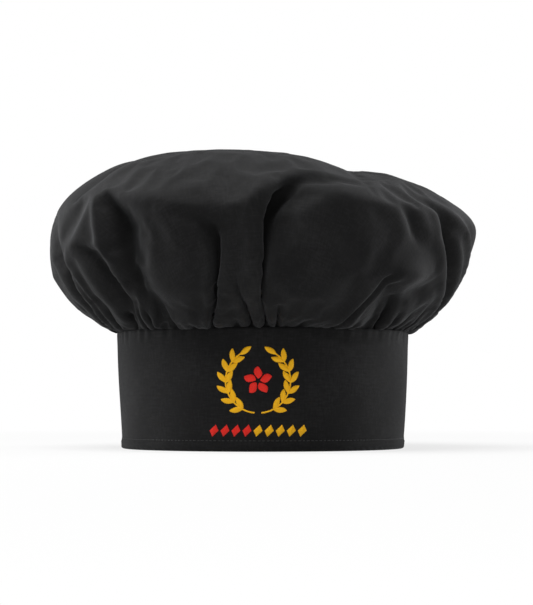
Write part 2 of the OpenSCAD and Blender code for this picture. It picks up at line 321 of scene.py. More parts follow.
# %% The weave group
weave, enter, leave = new_group(
    "plain weave",
    [("Cloth", "NodeSocketVector", None), ("Colour", "NodeSocketColor", (0.02, 0.02, 0.02, 1)),
     ("Worn colour", "NodeSocketColor", (0.06, 0.06, 0.06, 1)),
     ("Thread pitch", "NodeSocketFloat", 0.0006), ("Slubs", "NodeSocketFloat", 0.5),
     ("Wear", "NodeSocketFloat", 0.2)],
    [("Colour", "NodeSocketColor"), ("Height", "NodeSocketFloat"), ("Roughness", "NodeSocketFloat")])
w = Wires(weave)
cloth_place = enter.outputs["Cloth"]
split = w.add("ShaderNodeSeparateXYZ", None, Vector=cloth_place)
turns = w.math("DIVIDE", 2 * math.pi, enter.outputs["Thread pitch"])
over = w.math("SINE", w.math("MULTIPLY", split.outputs[0], turns))
under = w.math("SINE", w.math("MULTIPLY", split.outputs[1], turns))
threads = w.math("MULTIPLY_ADD", w.math("MULTIPLY", over, under), 0.5)
slub_across = w.noise(w.stretch(cloth_place, (150, 800, 1)), 1.0, 3.0, 0.65)
slub_along = w.noise(w.stretch(cloth_place, (800, 170, 1)), 1.0, 3.0, 0.65)
slubs = w.math("ADD", slub_across, slub_along)
slubs = w.math("MULTIPLY", w.math("SUBTRACT", slubs, 1.0), enter.outputs["Slubs"])
dye = w.noise(cloth_place, 28.0, 4.0, 0.55)
lint = w.ramp(w.noise(cloth_place, 420.0, 2.0, 0.7), 0.62, 0.8)
worn = w.math("ADD", w.math("MULTIPLY", w.ramp(dye, 0.4, 0.75), enter.outputs["Wear"]),
              w.math("MULTIPLY", slubs, 0.9), clamp=True)
worn = w.math("ADD", worn, w.math("MULTIPLY", lint, w.math("MULTIPLY", enter.outputs["Wear"], 0.5)),
              clamp=True)
w.put(leave.inputs["Colour"], w.blend(worn, enter.outputs["Colour"], enter.outputs["Worn colour"]))
w.put(leave.inputs["Height"], w.math("ADD", w.math("MULTIPLY", threads, 0.45),
                                      w.math("MULTIPLY", slubs, 0.5)))
w.put(leave.inputs["Roughness"], w.math("SUBTRACT", 0.9, w.math("MULTIPLY", worn, 0.14)))
print("weave group:", len(weave.nodes), "nodes")


# %% Cloth materials
# Painted shade in folds: how far the colour is mixed, at most, and the tone it is mixed towards.
most_painted_shade = 0.95
painted_shade_tone = 0.1


def cloth(name, colour, worn, pitch=0.6 * MM, slubs=1.2, wear=0.4, relief=0.12 * MM, sheen=0.12):
    """A woven material.  Sheen stands for the fine fuzz that lights up where cloth turns away.
    Painted shade: the hollow attribute darkens the colour in folds, mixing it towards a tenth of
    itself.  It is 0 on every piece that doesn't carry it."""
    material, nodes, shader = new_material(name)
    place = nodes.add("ShaderNodeUVMap", {"uv_map": "cloth"}).outputs[0]
    group = nodes.add("ShaderNodeGroup", {"node_tree": weave}, Cloth=place, Colour=(*colour, 1),
                      Worn_colour=(*worn, 1), Thread_pitch=pitch, Slubs=slubs, Wear=wear)
    bump = nodes.add("ShaderNodeBump", None, Height=group.outputs["Height"], Distance=relief,
                     Strength=0.8)
    hollow = nodes.add("ShaderNodeAttribute", {"attribute_name": "hollow"}).outputs["Fac"]
    # Painted shade: the colour is darkened where the hollow attribute is high.
    shaded_colour = nodes.blend(nodes.math("MULTIPLY", hollow, most_painted_shade), group.outputs["Colour"],
                           (*(painted_shade_tone * c for c in colour), 1))
    nodes.put(shader.inputs["Base Color"], shaded_colour)
    nodes.put(shader.inputs["Roughness"], group.outputs["Roughness"])
    nodes.put(shader.inputs["Normal"], bump.outputs[0])
    shader.inputs["Specular IOR Level"].default_value = 0.2
    shader.inputs["Sheen Weight"].default_value = sheen
    shader.inputs["Sheen Roughness"].default_value = 0.45
    shader.inputs["Sheen Tint"].default_value = (0.62, 0.63, 0.66, 1)
    return material


crown_cloth = cloth("crown poplin", (0.0065, 0.0065, 0.0067), (0.016, 0.016, 0.0165))
band_cloth = cloth("band poplin", (0.0060, 0.0060, 0.0062), (0.015, 0.015, 0.0155), slubs=1.3)
lining_cloth = cloth("lining poplin", (0.008, 0.008, 0.0083), (0.02, 0.02, 0.0205), wear=0.3)

# %% [markdown]
# ## The crown
#
# On the real hat the crown is cut as one flat round.  Its edge is drawn up on a thread until it
# fits the band, which throws the cloth into folds that are sharp at the seam and die away over the
# puff.  It could be simulated from the flat round, but then the folds would land anywhere.  Here
# the folds are placed first, as valleys that run over a turned profile, and the simulation only
# settles them.
#
# The crown is described by two numbers: the angle from the front, positive to the wearer's left,
# and the share of the way from the seam to the middle of the top.  The profile is a smooth curve
# through a few points.

# %% The crown's profile
seam_z = band_top + 0.3 * MM
lip_radius = at_seam - 1.35 * MM
crown_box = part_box("crown")
room_to_puff = 4 * MM
widest = (crown_box[1][0] - crown_box[0][0]) / 2 - room_to_puff
deepest = (crown_box[1][1] - crown_box[0][1]) / 2 - room_to_puff
top_z = crown_box[1][2] - 1.5 * MM
rise = top_z - seam_z

# Each point is (radius, share of the rise).  The radii are in metres and are stretched to fit.
profile_keys = np.array([
    (lip_radius, 0.0), (0.107, 0.062), (0.125, 0.195), (0.135, 0.36), (0.1372, 0.52), (0.1325, 0.685),
    (0.1205, 0.81), (0.1025, 0.905), (0.078, 0.968), (0.045, 0.995), (0.0, 1.0)])
profile_keys[1:, 0] *= widest / profile_keys[:, 0].max()
profile_keys[:, 1] = seam_z + profile_keys[:, 1] * rise


def through(keys, per_span=40):
    """A smooth curve through points: on each span, the Catmull-Rom cubic, whose slope at a point
    is half the step between its two neighbours."""
    k = np.vstack([2 * keys[0] - keys[1], keys, 2 * keys[-1] - keys[-2]])
    t = np.linspace(0, 1, per_span, endpoint=False)[None, :, None]
    a, b, c, d = (k[i:len(k) - 3 + i][:, None, :] for i in range(4))
    curve = 0.5 * (2 * b + (c - a) * t + (2 * a - 5 * b + 4 * c - d) * t ** 2
                   + (3 * b - a - 3 * c + d) * t ** 3)
    return np.vstack([curve.reshape(-1, keys.shape[1]), keys[-1:]])


profile = through(profile_keys)
walked = walked_along(profile)
profile_length = walked[-1]


def profile_at(share):
    """Radius and height of the profile, and its outward direction (radial, up), at a share."""
    step = 0.004
    radius, height = (np.interp(share * profile_length, walked, profile[:, k]) for k in (0, 1))
    up = [np.interp((share + step) * profile_length, walked, profile[:, k])
          - np.interp((share - step) * profile_length, walked, profile[:, k]) for k in (0, 1)]
    size = np.hypot(*up)
    return radius, height, up[1] / size, -up[0] / size


print(f"from seam to middle of the top: {profile_length / MM:.0f} mm of cloth")

# %% [markdown]
# A fold is a valley with a low shoulder on each side, because the cloth that goes down has to come
# from somewhere.  Each one is written as stations: share, angle in degrees, depth in mm and half
# width in mm.  The folds at the front are placed one by one.  Round the sides and the back
# they follow a rule: about one every nine degrees, each with its own length, lean and depth.

# %% Where the folds run
broad_folds = [
    # the deep hollow at the front left, the one beside it, and the dark fold at the far left
    [(0.00, -38, 2, 4), (0.03, -35.5, 4, 5), (0.12, -37.5, 6, 6), (0.17, -38.5, 8, 6.5),
     (0.26, -40.5, 11, 7), (0.33, -41, 13, 7.5), (0.37, -42.5, 11, 6),
     (0.40, -44.5, 5, 4), (0.415, -46, 0, 4)],
    [(0.00, -58, 2, 3.5), (0.05, -52, 4, 5), (0.105, -47.5, 6.5, 6), (0.16, -46.5, 7, 7),
     (0.22, -49.5, 6.5, 7), (0.26, -53, 5, 6), (0.29, -57, 0, 4)],
    [(0.00, -80, 2, 4), (0.06, -74, 4, 4.5), (0.13, -68, 4, 5), (0.22, -68, 4, 6), (0.28, -70, 3, 7),
     (0.33, -72, 1.5, 8), (0.38, -74, 0, 9)],
    # the soft hollow above the centre-left fold
    [(0.10, -13, 0, 8), (0.22, -13, 3, 9), (0.31, -14, 6, 10), (0.36, -16, 3, 12), (0.42, -18, 0, 12)],
    # the arch at the head of the centre pleat
    [(0.10, 1, 0, 6), (0.22, 2, 3, 7), (0.35, 3, 6, 8), (0.40, 6, 10, 9), (0.445, 10, 6, 12),
     (0.49, 15, 0, 14)],
    # a dimple right of the pleat, and the hollow low on the right
    [(0.13, 9, 0, 8), (0.19, 9, 3, 8), (0.26, 10, 0, 9)],
    [(0.00, 42, 2, 6), (0.05, 42, 5, 10), (0.11, 41, 5, 11), (0.16, 38, 3, 8), (0.20, 35, 0, 7)],
    # the soft upright fold over the highlight, and the one that cuts off the right-hand corner
    [(0.27, 45, 0, 6), (0.31, 43.5, 3, 6), (0.36, 41, 3, 6), (0.40, 38, 0, 8)],
    [(0.00, 84, 2, 5), (0.10, 78, 6, 6), (0.20, 66, 7, 7), (0.30, 59, 7, 7), (0.38, 57, 4, 7),
     (0.44, 52, 0, 8)],
    # slow undulations of the top
    [(0.40, -62, 0, 14), (0.50, -64, 3, 14), (0.70, -68, 2, 14), (0.80, -70, 0, 14)],
    [(0.46, 30, 0, 18), (0.54, 34, 3, 18), (0.72, 44, 2, 18), (0.85, 50, 0, 18)],
]
ridges = [
    # the crest that runs down to the left from the head of the deep hollow
    [(0.22, -66, 0, 9), (0.27, -61, 1.2, 9), (0.31, -57, 1.5, 9), (0.35, -54, 1.5, 8), (0.39, -51, 1, 8),
     (0.43, -50, 0, 7)],
    # the edge of the centre panel and the fold over the pleat's head
    [(0.20, -8, 0, 5), (0.31, -8, 1.2, 6), (0.36, -9, 1.2, 6), (0.42, -12, 0, 7)],
    [(0.28, 8, 0, 6), (0.34, 8, 1.2, 6), (0.39, 11, 1.8, 7), (0.43, 16, 2, 8), (0.47, 24, 0, 9)],
    # the corner at the far right
    [(0.14, 84, 0, 5), (0.24, 76, 2.5, 5), (0.33, 68, 3, 6), (0.40, 62, 0, 8)],
]
# The shoulder runs round the front where the top turns into the face: (degrees, share, mm).
shoulder = np.array([(-62, 0.42, 0), (-45, 0.40, 3), (-32, 0.385, 4.5), (-20.5, 0.367, 4.5),
                     (-10, 0.352, 4), (-3.5, 0.367, 3.5), (2, 0.412, 3.2), (8, 0.445, 3.4),
                     (13, 0.425, 3.2), (22, 0.392, 3), (33.5, 0.379, 2.5), (50, 0.38, 1.5), (70, 0.38, 0)])
# A crease starts with its lean: which of its shoulders is pulled over it, and how far.
creases = [
    # the long pleats and gathers of the front
    (0.6, [(0.00, -17.5, 4, 2.2), (0.02, -17, 5.5, 2.4), (0.10, -13.4, 6, 2.8), (0.20, -11.7, 6, 3.2),
           (0.28, -12, 4, 4), (0.34, -14, 0, 5)]),
    (-0.6, [(0.00, 0.8, 5, 2.2), (0.10, -0.8, 5.5, 2.5), (0.22, 0, 7, 3.0), (0.33, 1, 7.5, 3.6),
           (0.40, 4, 6, 4.5), (0.46, 9, 0, 6)]),
    (-0.5, [(0.00, -4, 4, 1.7), (0.06, -5, 3.2, 1.8), (0.15, -7.2, 2, 2.0), (0.19, -8, 0, 2.4)]),
    (-0.5, [(0.00, 4.8, 4.5, 1.7), (0.05, 4.8, 3.6, 1.8), (0.10, 5.2, 0, 2.2)]),
    (0.0, [(0.00, -9, 2, 1.6), (0.03, -9, 1.4, 1.8), (0.05, -9.5, 0, 2)]),
    (0.4, [(0.00, 14, 2.4, 1.8), (0.03, 15, 1.6, 2.2), (0.06, 17, 0, 3)]),
    (-0.6, [(0.00, 25, 3.5, 1.8), (0.045, 26.5, 3, 2.0), (0.11, 31, 2.2, 2.2), (0.19, 36, 1.6, 2.4),
           (0.22, 38, 0, 3)]),
    (-0.4, [(0.00, 31, 3, 1.7), (0.04, 32, 2, 2.0), (0.07, 33, 0, 2.4)]),
    (0.6, [(0.00, 47, 4, 1.9), (0.05, 46, 3.5, 2.2), (0.11, 44, 1.5, 3.0), (0.14, 43, 0, 3)]),
    (0.5, [(0.00, 53, 4, 1.8), (0.04, 52, 3, 2.0), (0.09, 50, 0, 2.6)]),
    (0.5, [(0.00, 60, 3, 1.8), (0.05, 59, 2, 2.2), (0.10, 58, 0, 2.6)]),
    (0.5, [(0.00, 69, 4, 1.8), (0.05, 68, 3, 2.2), (0.13, 64, 0, 3)]),
    (0.5, [(0.00, 77, 4, 1.8), (0.08, 75, 3, 2.4), (0.16, 70, 0, 3)]),
    (0.0, [(0.00, -25, 2, 1.8), (0.03, -25, 1.2, 2.0), (0.05, -25, 0, 2.4)]),
    (0.0, [(0.00, -33, 3, 1.8), (0.05, -33.5, 2, 2.0), (0.09, -34, 0, 2.6)]),
    (-0.4, [(0.00, -43, 3.5, 1.7), (0.05, -41, 3, 1.8), (0.10, -41, 0, 2.4)]),
    (-0.5, [(0.00, -48, 4, 1.7), (0.05, -46, 3, 1.9), (0.12, -43.5, 0, 2.4)]),
    (-0.5, [(0.00, -56, 4, 1.8), (0.04, -54, 3, 2.0), (0.08, -52, 0, 2.6)]),
    (-0.5, [(0.00, -68, 4, 1.8), (0.05, -63, 3, 2.0), (0.12, -57, 0, 2.4)]),
    (-0.5, [(0.00, -84, 4, 1.8), (0.05, -82, 3, 2.2), (0.18, -77, 0, 3)]),
    # thin crests that fan out from the gathers at the left (their depth is negative)
    (0.0, [(0.01, -50, 0, 2.4), (0.04, -47, -1.6, 2.4), (0.105, -44.8, -1.8, 2.4), (0.16, -44.5, -1.5, 2.6),
           (0.22, -47.5, -1.0, 2.8), (0.26, -52, 0, 3)]),
    (0.0, [(0.00, -72, -1.6, 2.2), (0.05, -66, -1.8, 2.4), (0.13, -59, -2, 2.4), (0.2, -61, -1.6, 2.5),
           (0.26, -64.5, 0, 3)]),
    (0.0, [(0.00, -77, -1.4, 2.0), (0.05, -70.5, -1.6, 2.2), (0.13, -63, -1.6, 2.2), (0.2, -65, -1.2, 2.4),
           (0.26, -68.5, 0, 3)]),
    (0.0, [(0.01, -41, 0, 2.0), (0.05, -38.5, -1.6, 2.2), (0.10, -36.5, -1.6, 2.4), (0.15, -37, 0, 2.4)]),
    (0.0, [(0.02, 24, 0, 2.4), (0.06, 28.3, -1.2, 2.4), (0.12, 33, -1.5, 2.6), (0.18, 37, -1.3, 3.2),
           (0.22, 40, 0, 4)]),
]

chance = np.random.default_rng(11)
for base in np.arange(93, 268, 8.7):
    seam_angle = base + chance.uniform(-2.2, 2.2)
    lean, length = chance.uniform(-6, 6), chance.uniform(0.12, 0.42)
    depth, width = chance.uniform(4, 9), chance.uniform(5, 8.5)
    broad_folds.append([
        (0.0, seam_angle, depth * 0.35, width * 0.55),
        (length * 0.3, seam_angle + lean * 0.3, depth * 0.8, width * 0.8),
        (length * 0.65, seam_angle + lean * 0.7, depth, width * 1.1),
        (length, seam_angle + lean, 0, width * 1.2)])
for base in np.arange(90, 270, 4.6):
    seam_angle = base + chance.uniform(-1.3, 1.3)
    lean, length = chance.uniform(-4, 4), chance.uniform(0.05, 0.2)
    depth = chance.uniform(2.6, 4.4)
    creases.append((chance.choice([-0.6, 0.6]), [
        (0.0, seam_angle, depth, 1.8),
        (length * 0.4, seam_angle + lean * 0.4, depth * 0.8, 2.2),
        (length, seam_angle + lean, 0, 3.0)]))


def across_fold(stations, degrees, share, radius):
    """Distance from a fold's line in half widths, and the fold's depth, at each point.  Angle,
    depth and width are blended linearly between the fold's stations."""
    at, angle, depth, width = np.array(stations, float).T
    off = (degrees - np.interp(share, at, angle) + 180) % 360 - 180
    across = np.radians(off) * radius / (np.interp(share, at, width) * MM)
    return across, np.interp(share, at, depth) * MM * smooth(at[0] - 0.03, at[0], share)


def valley(across, ease=0.0):
    """Minus a pointed bell curve, plus a third of a bell for the shoulder on each side.  ease
    stretches the flank nearer the wearer's left and takes its shoulder away, so that the cloth
    rises out of the fold slowly on that side."""
    gentle = np.where(across > 0, ease, 0.0)
    across = np.abs(across) / (1 + gentle)
    shoulders = 0.33 * (1 - gentle / 1.2) * np.exp(-(across - 1.9) ** 2)
    return shoulders - np.exp(-across ** (1.6 + gentle / 2))


def folded(folds, degrees, share, radius):
    """Push along the outward direction: the sum of depth times valley over all the folds.  The
    front's broad folds are eased on one side, because they lean to the right."""
    push = np.zeros(np.broadcast(degrees, share).shape)
    for stations in folds:
        across, depth = across_fold(stations, degrees, share, radius)
        push += depth * valley(across, 1.2 if -59 < stations[0][1] < 15 else 0.0)
    return push


def pleated(folds, degrees, share, radius):
    """The same for creases, with a second push along the cloth.  A crease that leans has one
    shoulder pulled sideways over its valley, which is what makes it a pleat with a dark edge:
    lean times depth times a bell curve round that shoulder."""
    push, pull = (np.zeros(np.broadcast(degrees, share).shape) for _ in range(2))
    for lean, stations in folds:
        across, depth = across_fold(stations, degrees, share, radius)
        push += depth * valley(across)
        pull -= lean * depth * np.exp(-(across - 1.3 * np.sign(lean)) ** 2)
    return push, pull


print(len(broad_folds), "broad folds and", len(creases), "creases")

# %% [markdown]
# The real crown isn't level or round.  It slumps towards one side, it pokes out as a corner where
# the cloth was folded in its packet, and it sags over the seam where nothing holds it.  These are
# added as wide, soft bumps before the folds.


# %% The crown's own shape
def bump(degrees, share, angle, at, wide, tall):
    """A round-topped bump at an angle and share: 1 in its middle, fading over wide and tall."""
    off = (degrees - angle + 180) % 360 - 180
    return np.exp(-(off / wide) ** 2 - ((share - at) / tall) ** 2)


def crown_shape(degrees, share):
    """Points of the crown before its creases: the turned profile, squashed a little from front to
    back, pushed along its outward direction by bumps and broad folds, then lowered by the slump."""
    radius, height, out, up = profile_at(np.clip(share, 0, 1))
    lobes = 1.3 * np.sin(np.radians(4 * degrees + 20)) + 1.0 * np.sin(np.radians(7 * degrees - 50))
    push = lobes * np.sin(np.pi * np.clip(share / 0.8, 0, 1)) * MM
    push += 4.0 * MM * bump(degrees, share, 80, 0.36, 13, 0.06)
    push += 6.5 * MM * bump(degrees, share, 43, 0.205, 7, 0.032)
    push -= 4.0 * MM * bump(degrees, share, 51, 0.135, 6, 0.035)
    push += 2.5 * MM * bump(degrees, share, 18, 0.42, 12, 0.07)
    push -= 3.0 * MM * bump(degrees, share, 100, 0.2, 26, 0.12)
    push += folded(broad_folds, degrees, share, np.maximum(radius, 0.04)) * smooth(0.0, 0.02, share)
    push -= folded(ridges, degrees, share, np.maximum(radius, 0.04))
    past = (share - np.interp(degrees, shoulder[:, 0], shoulder[:, 1])) / 0.045
    tall = np.interp(degrees, shoulder[:, 0], shoulder[:, 2]) * MM
    push += tall * (np.exp(-np.abs(past) ** 1.5) - 0.8 * np.exp(-((past + 2.6) / 1.6) ** 2))
    push -= 4.0 * MM * bump(degrees, share, -88, 0.50, 24, 0.10)
    across = radius + push * out
    turn = np.radians(degrees)
    squash = 1 - (1 - deepest / widest) * smooth(0.0, 0.25, share)
    x, y = across * np.sin(turn), -across * np.cos(turn) * squash
    z = height + push * up
    dome = smooth(seam_z + 0.42 * rise, top_z, z)
    z = z - dome * (9.5 * MM * smooth(-0.035, 0.06, x) + 1.5 * MM * smooth(-0.10, -0.05, x))
    sag = bump(degrees, share, -27, 0.035, 14, 0.035) + 0.9 * bump(degrees, share, 30, 0.045, 16, 0.04)
    grow = 1 + 0.02 * sag
    return np.stack([x * grow, y * grow, z - 3.6 * MM * sag], axis=-1)


# %% [markdown]
# The simulation runs on a coarse grid, because cloth solvers are slow and settle long waves first.
# The cloth is made about two hundredths too large, so it has to buckle, and each point is tied
# softly to its start, so the folds stay where they were put.  The seam is held fast.  The slit at the
# back is left open: above it, the first and last columns are one and the same.  Towards the middle
# of the top the columns run together and buckle into a fan of rays, so only the four slowest waves
# of the movement are kept there.

# %% The grid and the slit
columns, rows = 196, 60
slit_share = 0.19
slit_width = 2.4 * MM
shares = np.linspace(0, 1, rows) ** 1.3
slit_row = int(np.searchsorted(shares, slit_share))


def crown_angles(share, count):
    """Angles of the columns in degrees, from one edge of the slit round to the other.  Taking
    0.09 sin(pi t) from an even step t crowds the columns at the front, where creases are fine."""
    opening = np.degrees(slit_width / 2 / lip_radius) * smooth(slit_share, 0, share)
    even = np.linspace(-1, 1, count)
    crowded = even - 0.09 * np.sin(math.pi * even)
    return (180 - opening[:, None]) * crowded


def weld_crown(slit_end):
    """Above the slit the last column is the first one; the top row is a single point."""
    def weld(index):
        index = index.copy()
        index[slit_end:, -1] = index[slit_end:, 0]
        index[-1, :] = index[-1, 0]
        return index
    return weld


share_grid = np.repeat(shares[:, None], columns, axis=1)
angle_grid = crown_angles(shares, columns)
settled = crown_shape(angle_grid, share_grid)


# %% Let the cloth settle
def settle(points, weld, frames, growth, hold):
    """Runs Blender's cloth on a grid and returns the grid where it came to rest.  hold is the
    strength, per point, of the tie to the start."""
    sheet = surface("cloth to settle", points, weld=weld)
    kept = np.unique(weld(np.arange(points.shape[0] * points.shape[1]).reshape(points.shape[:2])))
    ties = sheet.vertex_groups.new(name="ties")
    strengths = np.round(hold.reshape(-1)[kept], 3)
    for strength in np.unique(strengths):
        ties.add(np.flatnonzero(strengths == strength).tolist(), float(strength), "REPLACE")
    cloth_modifier = sheet.modifiers.new("cloth", "CLOTH")
    settings = cloth_modifier.settings
    settings.quality = 6
    settings.mass = 0.04
    settings.vertex_group_mass = "ties"
    settings.pin_stiffness = 8
    settings.shrink_min = -growth
    settings.tension_stiffness = settings.compression_stiffness = 20
    settings.shear_stiffness = 8
    settings.bending_stiffness = 4
    settings.air_damping = 3
    settings.effector_weights.gravity = 0.05
    cloth_modifier.collision_settings.use_collision = False
    cloth_modifier.point_cache.frame_start = 1
    cloth_modifier.point_cache.frame_end = frames
    scene = bpy.context.scene
    for frame_number in range(1, frames + 1):
        scene.frame_set(frame_number)
    resting = sheet.evaluated_get(bpy.context.evaluated_depsgraph_get()).data
    result = np.empty(len(resting.vertices) * 3, np.float32)
    resting.vertices.foreach_get("co", result)
    scene.frame_set(1)
    grid = points.reshape(-1, 3).copy()
    grid[kept] = result.reshape(-1, 3)
    bpy.data.objects.remove(sheet, do_unlink=True)
    return grid[weld(np.arange(len(grid)).reshape(points.shape[:2]))]


settle_frames = 14
extra_cloth = 0.018
waves_kept = 4
calm_from, calm_above = 0.66, 0.84

hold = 0.10 + 0.9 * smooth(0.05, 0.0, share_grid) + 0.25 * smooth(0.8, 1.0, share_grid)
before = settled.copy()
settled = settle(settled, weld_crown(slit_row), settle_frames, extra_cloth, np.clip(hold, 0, 1))
drift = settled - before
waves = np.fft.rfft(drift[:, :-1], axis=1)
waves[:, waves_kept + 1:] = 0
slow = np.fft.irfft(waves, columns - 1, axis=1)
slow = np.concatenate([slow, slow[:, :1]], axis=1)
settled = settled + smooth(calm_from, calm_above, share_grid)[..., None] * (slow - drift)
moved = np.linalg.norm(settled - before, axis=-1)
print(f"the cloth moved {moved.mean() / MM:.2f} mm on average and {moved.max() / MM:.1f} mm at most")

# %% [markdown]
# The settled grid is doubled each way with the same smooth curve that drew the profile.  Then the
# narrow creases are pressed in, together with the tiny gathers that the drawing thread leaves just
# above the seam.  They are finer than the coarse grid could carry.


# %% Refine the grid and press in the creases
def doubled(grid):
    """Twice as many cells along the first axis: each new point is the Catmull-Rom middle of its
    four neighbours, (9 (b + c) - (a + d)) / 16."""
    k = np.concatenate([2 * grid[:1] - grid[1:2], grid, 2 * grid[-1:] - grid[-2:-1]])
    middle = (9 * (k[1:-2] + k[2:-1]) - (k[:-3] + k[3:])) / 16
    out = np.empty((2 * len(grid) - 1, *grid.shape[1:]))
    out[::2], out[1::2] = grid, middle
    return out


def outward(points):
    """Unit normals of a grid whose columns run round and whose rows run up."""
    normal = np.cross(np.gradient(points, axis=1), np.gradient(points, axis=0))
    size = np.linalg.norm(normal, axis=-1, keepdims=True)
    return normal / np.maximum(size, 1e-12)


def both_ways(grid):
    """The grid doubled along its rows and along its columns."""
    return doubled(doubled(grid).swapaxes(0, 1)).swapaxes(0, 1)


crown_points = both_ways(settled)
fine_share = np.clip(both_ways(share_grid[..., None])[..., 0], 0, 1)
fine_angle = both_ways(angle_grid[..., None])[..., 0]
fine_radius = np.hypot(crown_points[..., 0], crown_points[..., 1])
gather_size = 0.6 + 0.4 * np.sin(np.radians(5 * fine_angle + 40))
tiny = 0.55 * MM * gather_size * np.exp(-fine_share / 0.035) \
    * np.sin(np.radians(fine_angle) * 71 + 2 * np.sin(np.radians(fine_angle * 6)))
press, pull = pleated(creases, fine_angle, fine_share, np.maximum(fine_radius, 0.05))
from_seam = smooth(-0.001, 0.010, fine_share)[..., None]
along = np.gradient(crown_points, axis=1)
along /= np.maximum(np.linalg.norm(along, axis=-1, keepdims=True), 1e-12)
crown_points = crown_points + from_seam * ((press + tiny)[..., None] * outward(crown_points)
                                           + pull[..., None] * along)
# Painted shade for the material: darker deep in the broad folds, in the creases and along the seam.
sunk = -folded(broad_folds, fine_angle, fine_share, np.maximum(fine_radius, 0.04))
crown_painted_shade = np.clip(smooth(2 * MM, 10 * MM, sunk) + 0.9 * smooth(0.6 * MM, 4 * MM, -press)
                       + 0.7 * smooth(0.016, 0.004, fine_share), 0, 1)
print("crown grid:", crown_points.shape[:2], "share in hollows:", round(crown_painted_shade.mean(), 2))

# %% [markdown]
# Below the seam the crown's edge is caught between the band's two cloths.  A few more rows carry
# it down there.  The UV map is the flat round itself: distance from the middle of the top, in the
# direction of the angle, so the weave runs straight across the hat as it does on the cut cloth.

# %% Build the crown
caught = np.array([6.0, 3.0, 1.0])[:, None] * MM
edge_turn = np.radians(fine_angle[:1])
drop = caught / band_top * (at_seam - at_rim)
lip = np.stack([(lip_radius - drop) * np.sin(edge_turn), -(lip_radius - drop) * np.cos(edge_turn),
                np.repeat(seam_z - caught, fine_angle.shape[1], axis=1)], axis=-1)
crown_points = np.concatenate([lip, crown_points])
from_middle = np.concatenate([profile_length + np.repeat(caught, fine_angle.shape[1], axis=1),
                              (1 - fine_share) * profile_length])
uv_turn = np.radians(np.concatenate([np.repeat(fine_angle[:1], 3, axis=0), fine_angle]))
crown_uv = np.stack([from_middle * np.sin(uv_turn), -from_middle * np.cos(uv_turn)], axis=-1)
slit_end = 3 + 2 * slit_row
crown_painted_shade = np.concatenate([np.zeros((3, fine_angle.shape[1])), crown_painted_shade])
crown = surface("crown_cloth", crown_points, crown_uv, weld=weld_crown(slit_end), hollow=crown_painted_shade)
thicken(crown, 0.5 * MM)
finish_piece(crown, crown_cloth, "hat", "crown_cloth", "crown")

# %% [markdown]
# ## The headband
#
# The outer cloth is one long strip.  It is turned up inside at the bottom to make the hem and
# folded in at the top, where it grips the crown.  So its section is drawn once, as a path from the
# turned-up edge, round the hem fold, up the wall and over the top, and carried round the band.


# %% The outer cloth of the band
def arc_path(centre, radius, start, stop, count):
    """Points on an arc, given in degrees, as (offset, height) rows."""
    t = np.radians(np.linspace(start, stop, count))
    return np.stack([centre[0] + radius * np.cos(t), centre[1] + radius * np.sin(t)], axis=-1)


wall_depth = at_rim - span("headband_lining")["radius"][0]
hem_round = (wall_depth + 0.4 * MM) / 2
turned_up = 13 * MM
lip_round = 0.45 * MM
band_section = np.vstack([
    np.stack([np.full(7, -2 * hem_round), np.linspace(turned_up, hem_round, 7)], axis=-1)[:-1],
    arc_path((-hem_round, hem_round), hem_round, 180, 360, 12)[:-1],
    np.stack([np.zeros(46), np.linspace(hem_round, band_top - lip_round, 46)], axis=-1)[:-1],
    arc_path((-lip_round, band_top - lip_round), lip_round, 0, 180, 7)[:-1],
    np.stack([np.full(4, -2 * lip_round), np.linspace(band_top - lip_round, band_top - 6 * MM, 4)],
             axis=-1)])
section_walk = walked_along(band_section)
band_columns = 384
round_angles = np.linspace(-math.pi, math.pi, band_columns, endpoint=False)


def swept(section, angles):
    """A section of (offset, height) rows carried round the band's wavy cone.  The waves are those of
    the outer face: they fade with depth, because the stiffening inside is a plain cone."""
    waves = np.clip(1 + section[:, :1] / (2 * hem_round), 0, 1)
    return on_band(angles[None, :], section[:, 1:2], section[:, :1], waves)


def strip_uv(walk, angles):
    """Metres round the band and metres along the section."""
    turns = np.append(angles, angles[0] + 2 * math.pi)
    return np.stack(np.broadcast_arrays(turns[None, :] * at_seam, walk[:, None]), axis=-1)


# Painted shade on the band, as in the crown's folds: along the seam and in the slack fold.
below_seam = band_top - band_section[:, 1:2]
into_fold = (leaning_line(np.degrees(round_angles[None, :] - FRONT)) - below_seam) / MM
band_painted_shade = np.maximum(0.8 * smooth(2 * MM, 0.4 * MM, below_seam),
                         0.75 * smooth(-1, 1.2, into_fold) * np.exp(-np.maximum(into_fold, 0) / 9))
headband = surface("headband_cloth", swept(band_section, round_angles),
                   strip_uv(section_walk, round_angles), closed=True, hollow=band_painted_shade)
thicken(headband, 0.4 * MM)
finish_piece(headband, band_cloth, "hat", "band_cloth", "headband_outer")

# %% [markdown]
# The lining closes the inside.  It is a plain strip whose lower edge is tucked under the
# turned-up hem, and it lies a little loose, so it shows soft drag lines of its own.

# %% The lining
lining_section = np.stack([np.full(30, -wall_depth + 0.4 * MM),
                           np.linspace(8 * MM, band_top - 1.0 * MM, 30)], axis=-1)
drag = 1 + np.sin(17 * round_angles + 1.5 * np.sin(3 * round_angles))
drag *= smooth(closure_reach * 0.8, closure_reach * 1.25, from_back(round_angles))
slack = 0.25 * MM * drag[None, :] * np.sin(np.linspace(0, math.pi, 30))[:, None]
lining_points = on_band(round_angles[None, :], lining_section[:, 1:2], lining_section[:, :1] - slack, 0)
lining = surface("lining_cloth", lining_points,
                 strip_uv(lining_section[:, 1] - lining_section[0, 1], round_angles), closed=True)
thicken(lining, 0.35 * MM)
finish_piece(lining, lining_cloth, "hat", "lining_cloth", "headband_lining")

# %% [markdown]
# The stiffening between the two cloths never shows.  Its CAD solid has the right shape, so it
# stays and only gets its own pale, felted finish.  CAD pieces have no UV map, so this material
# reads Object coordinates.


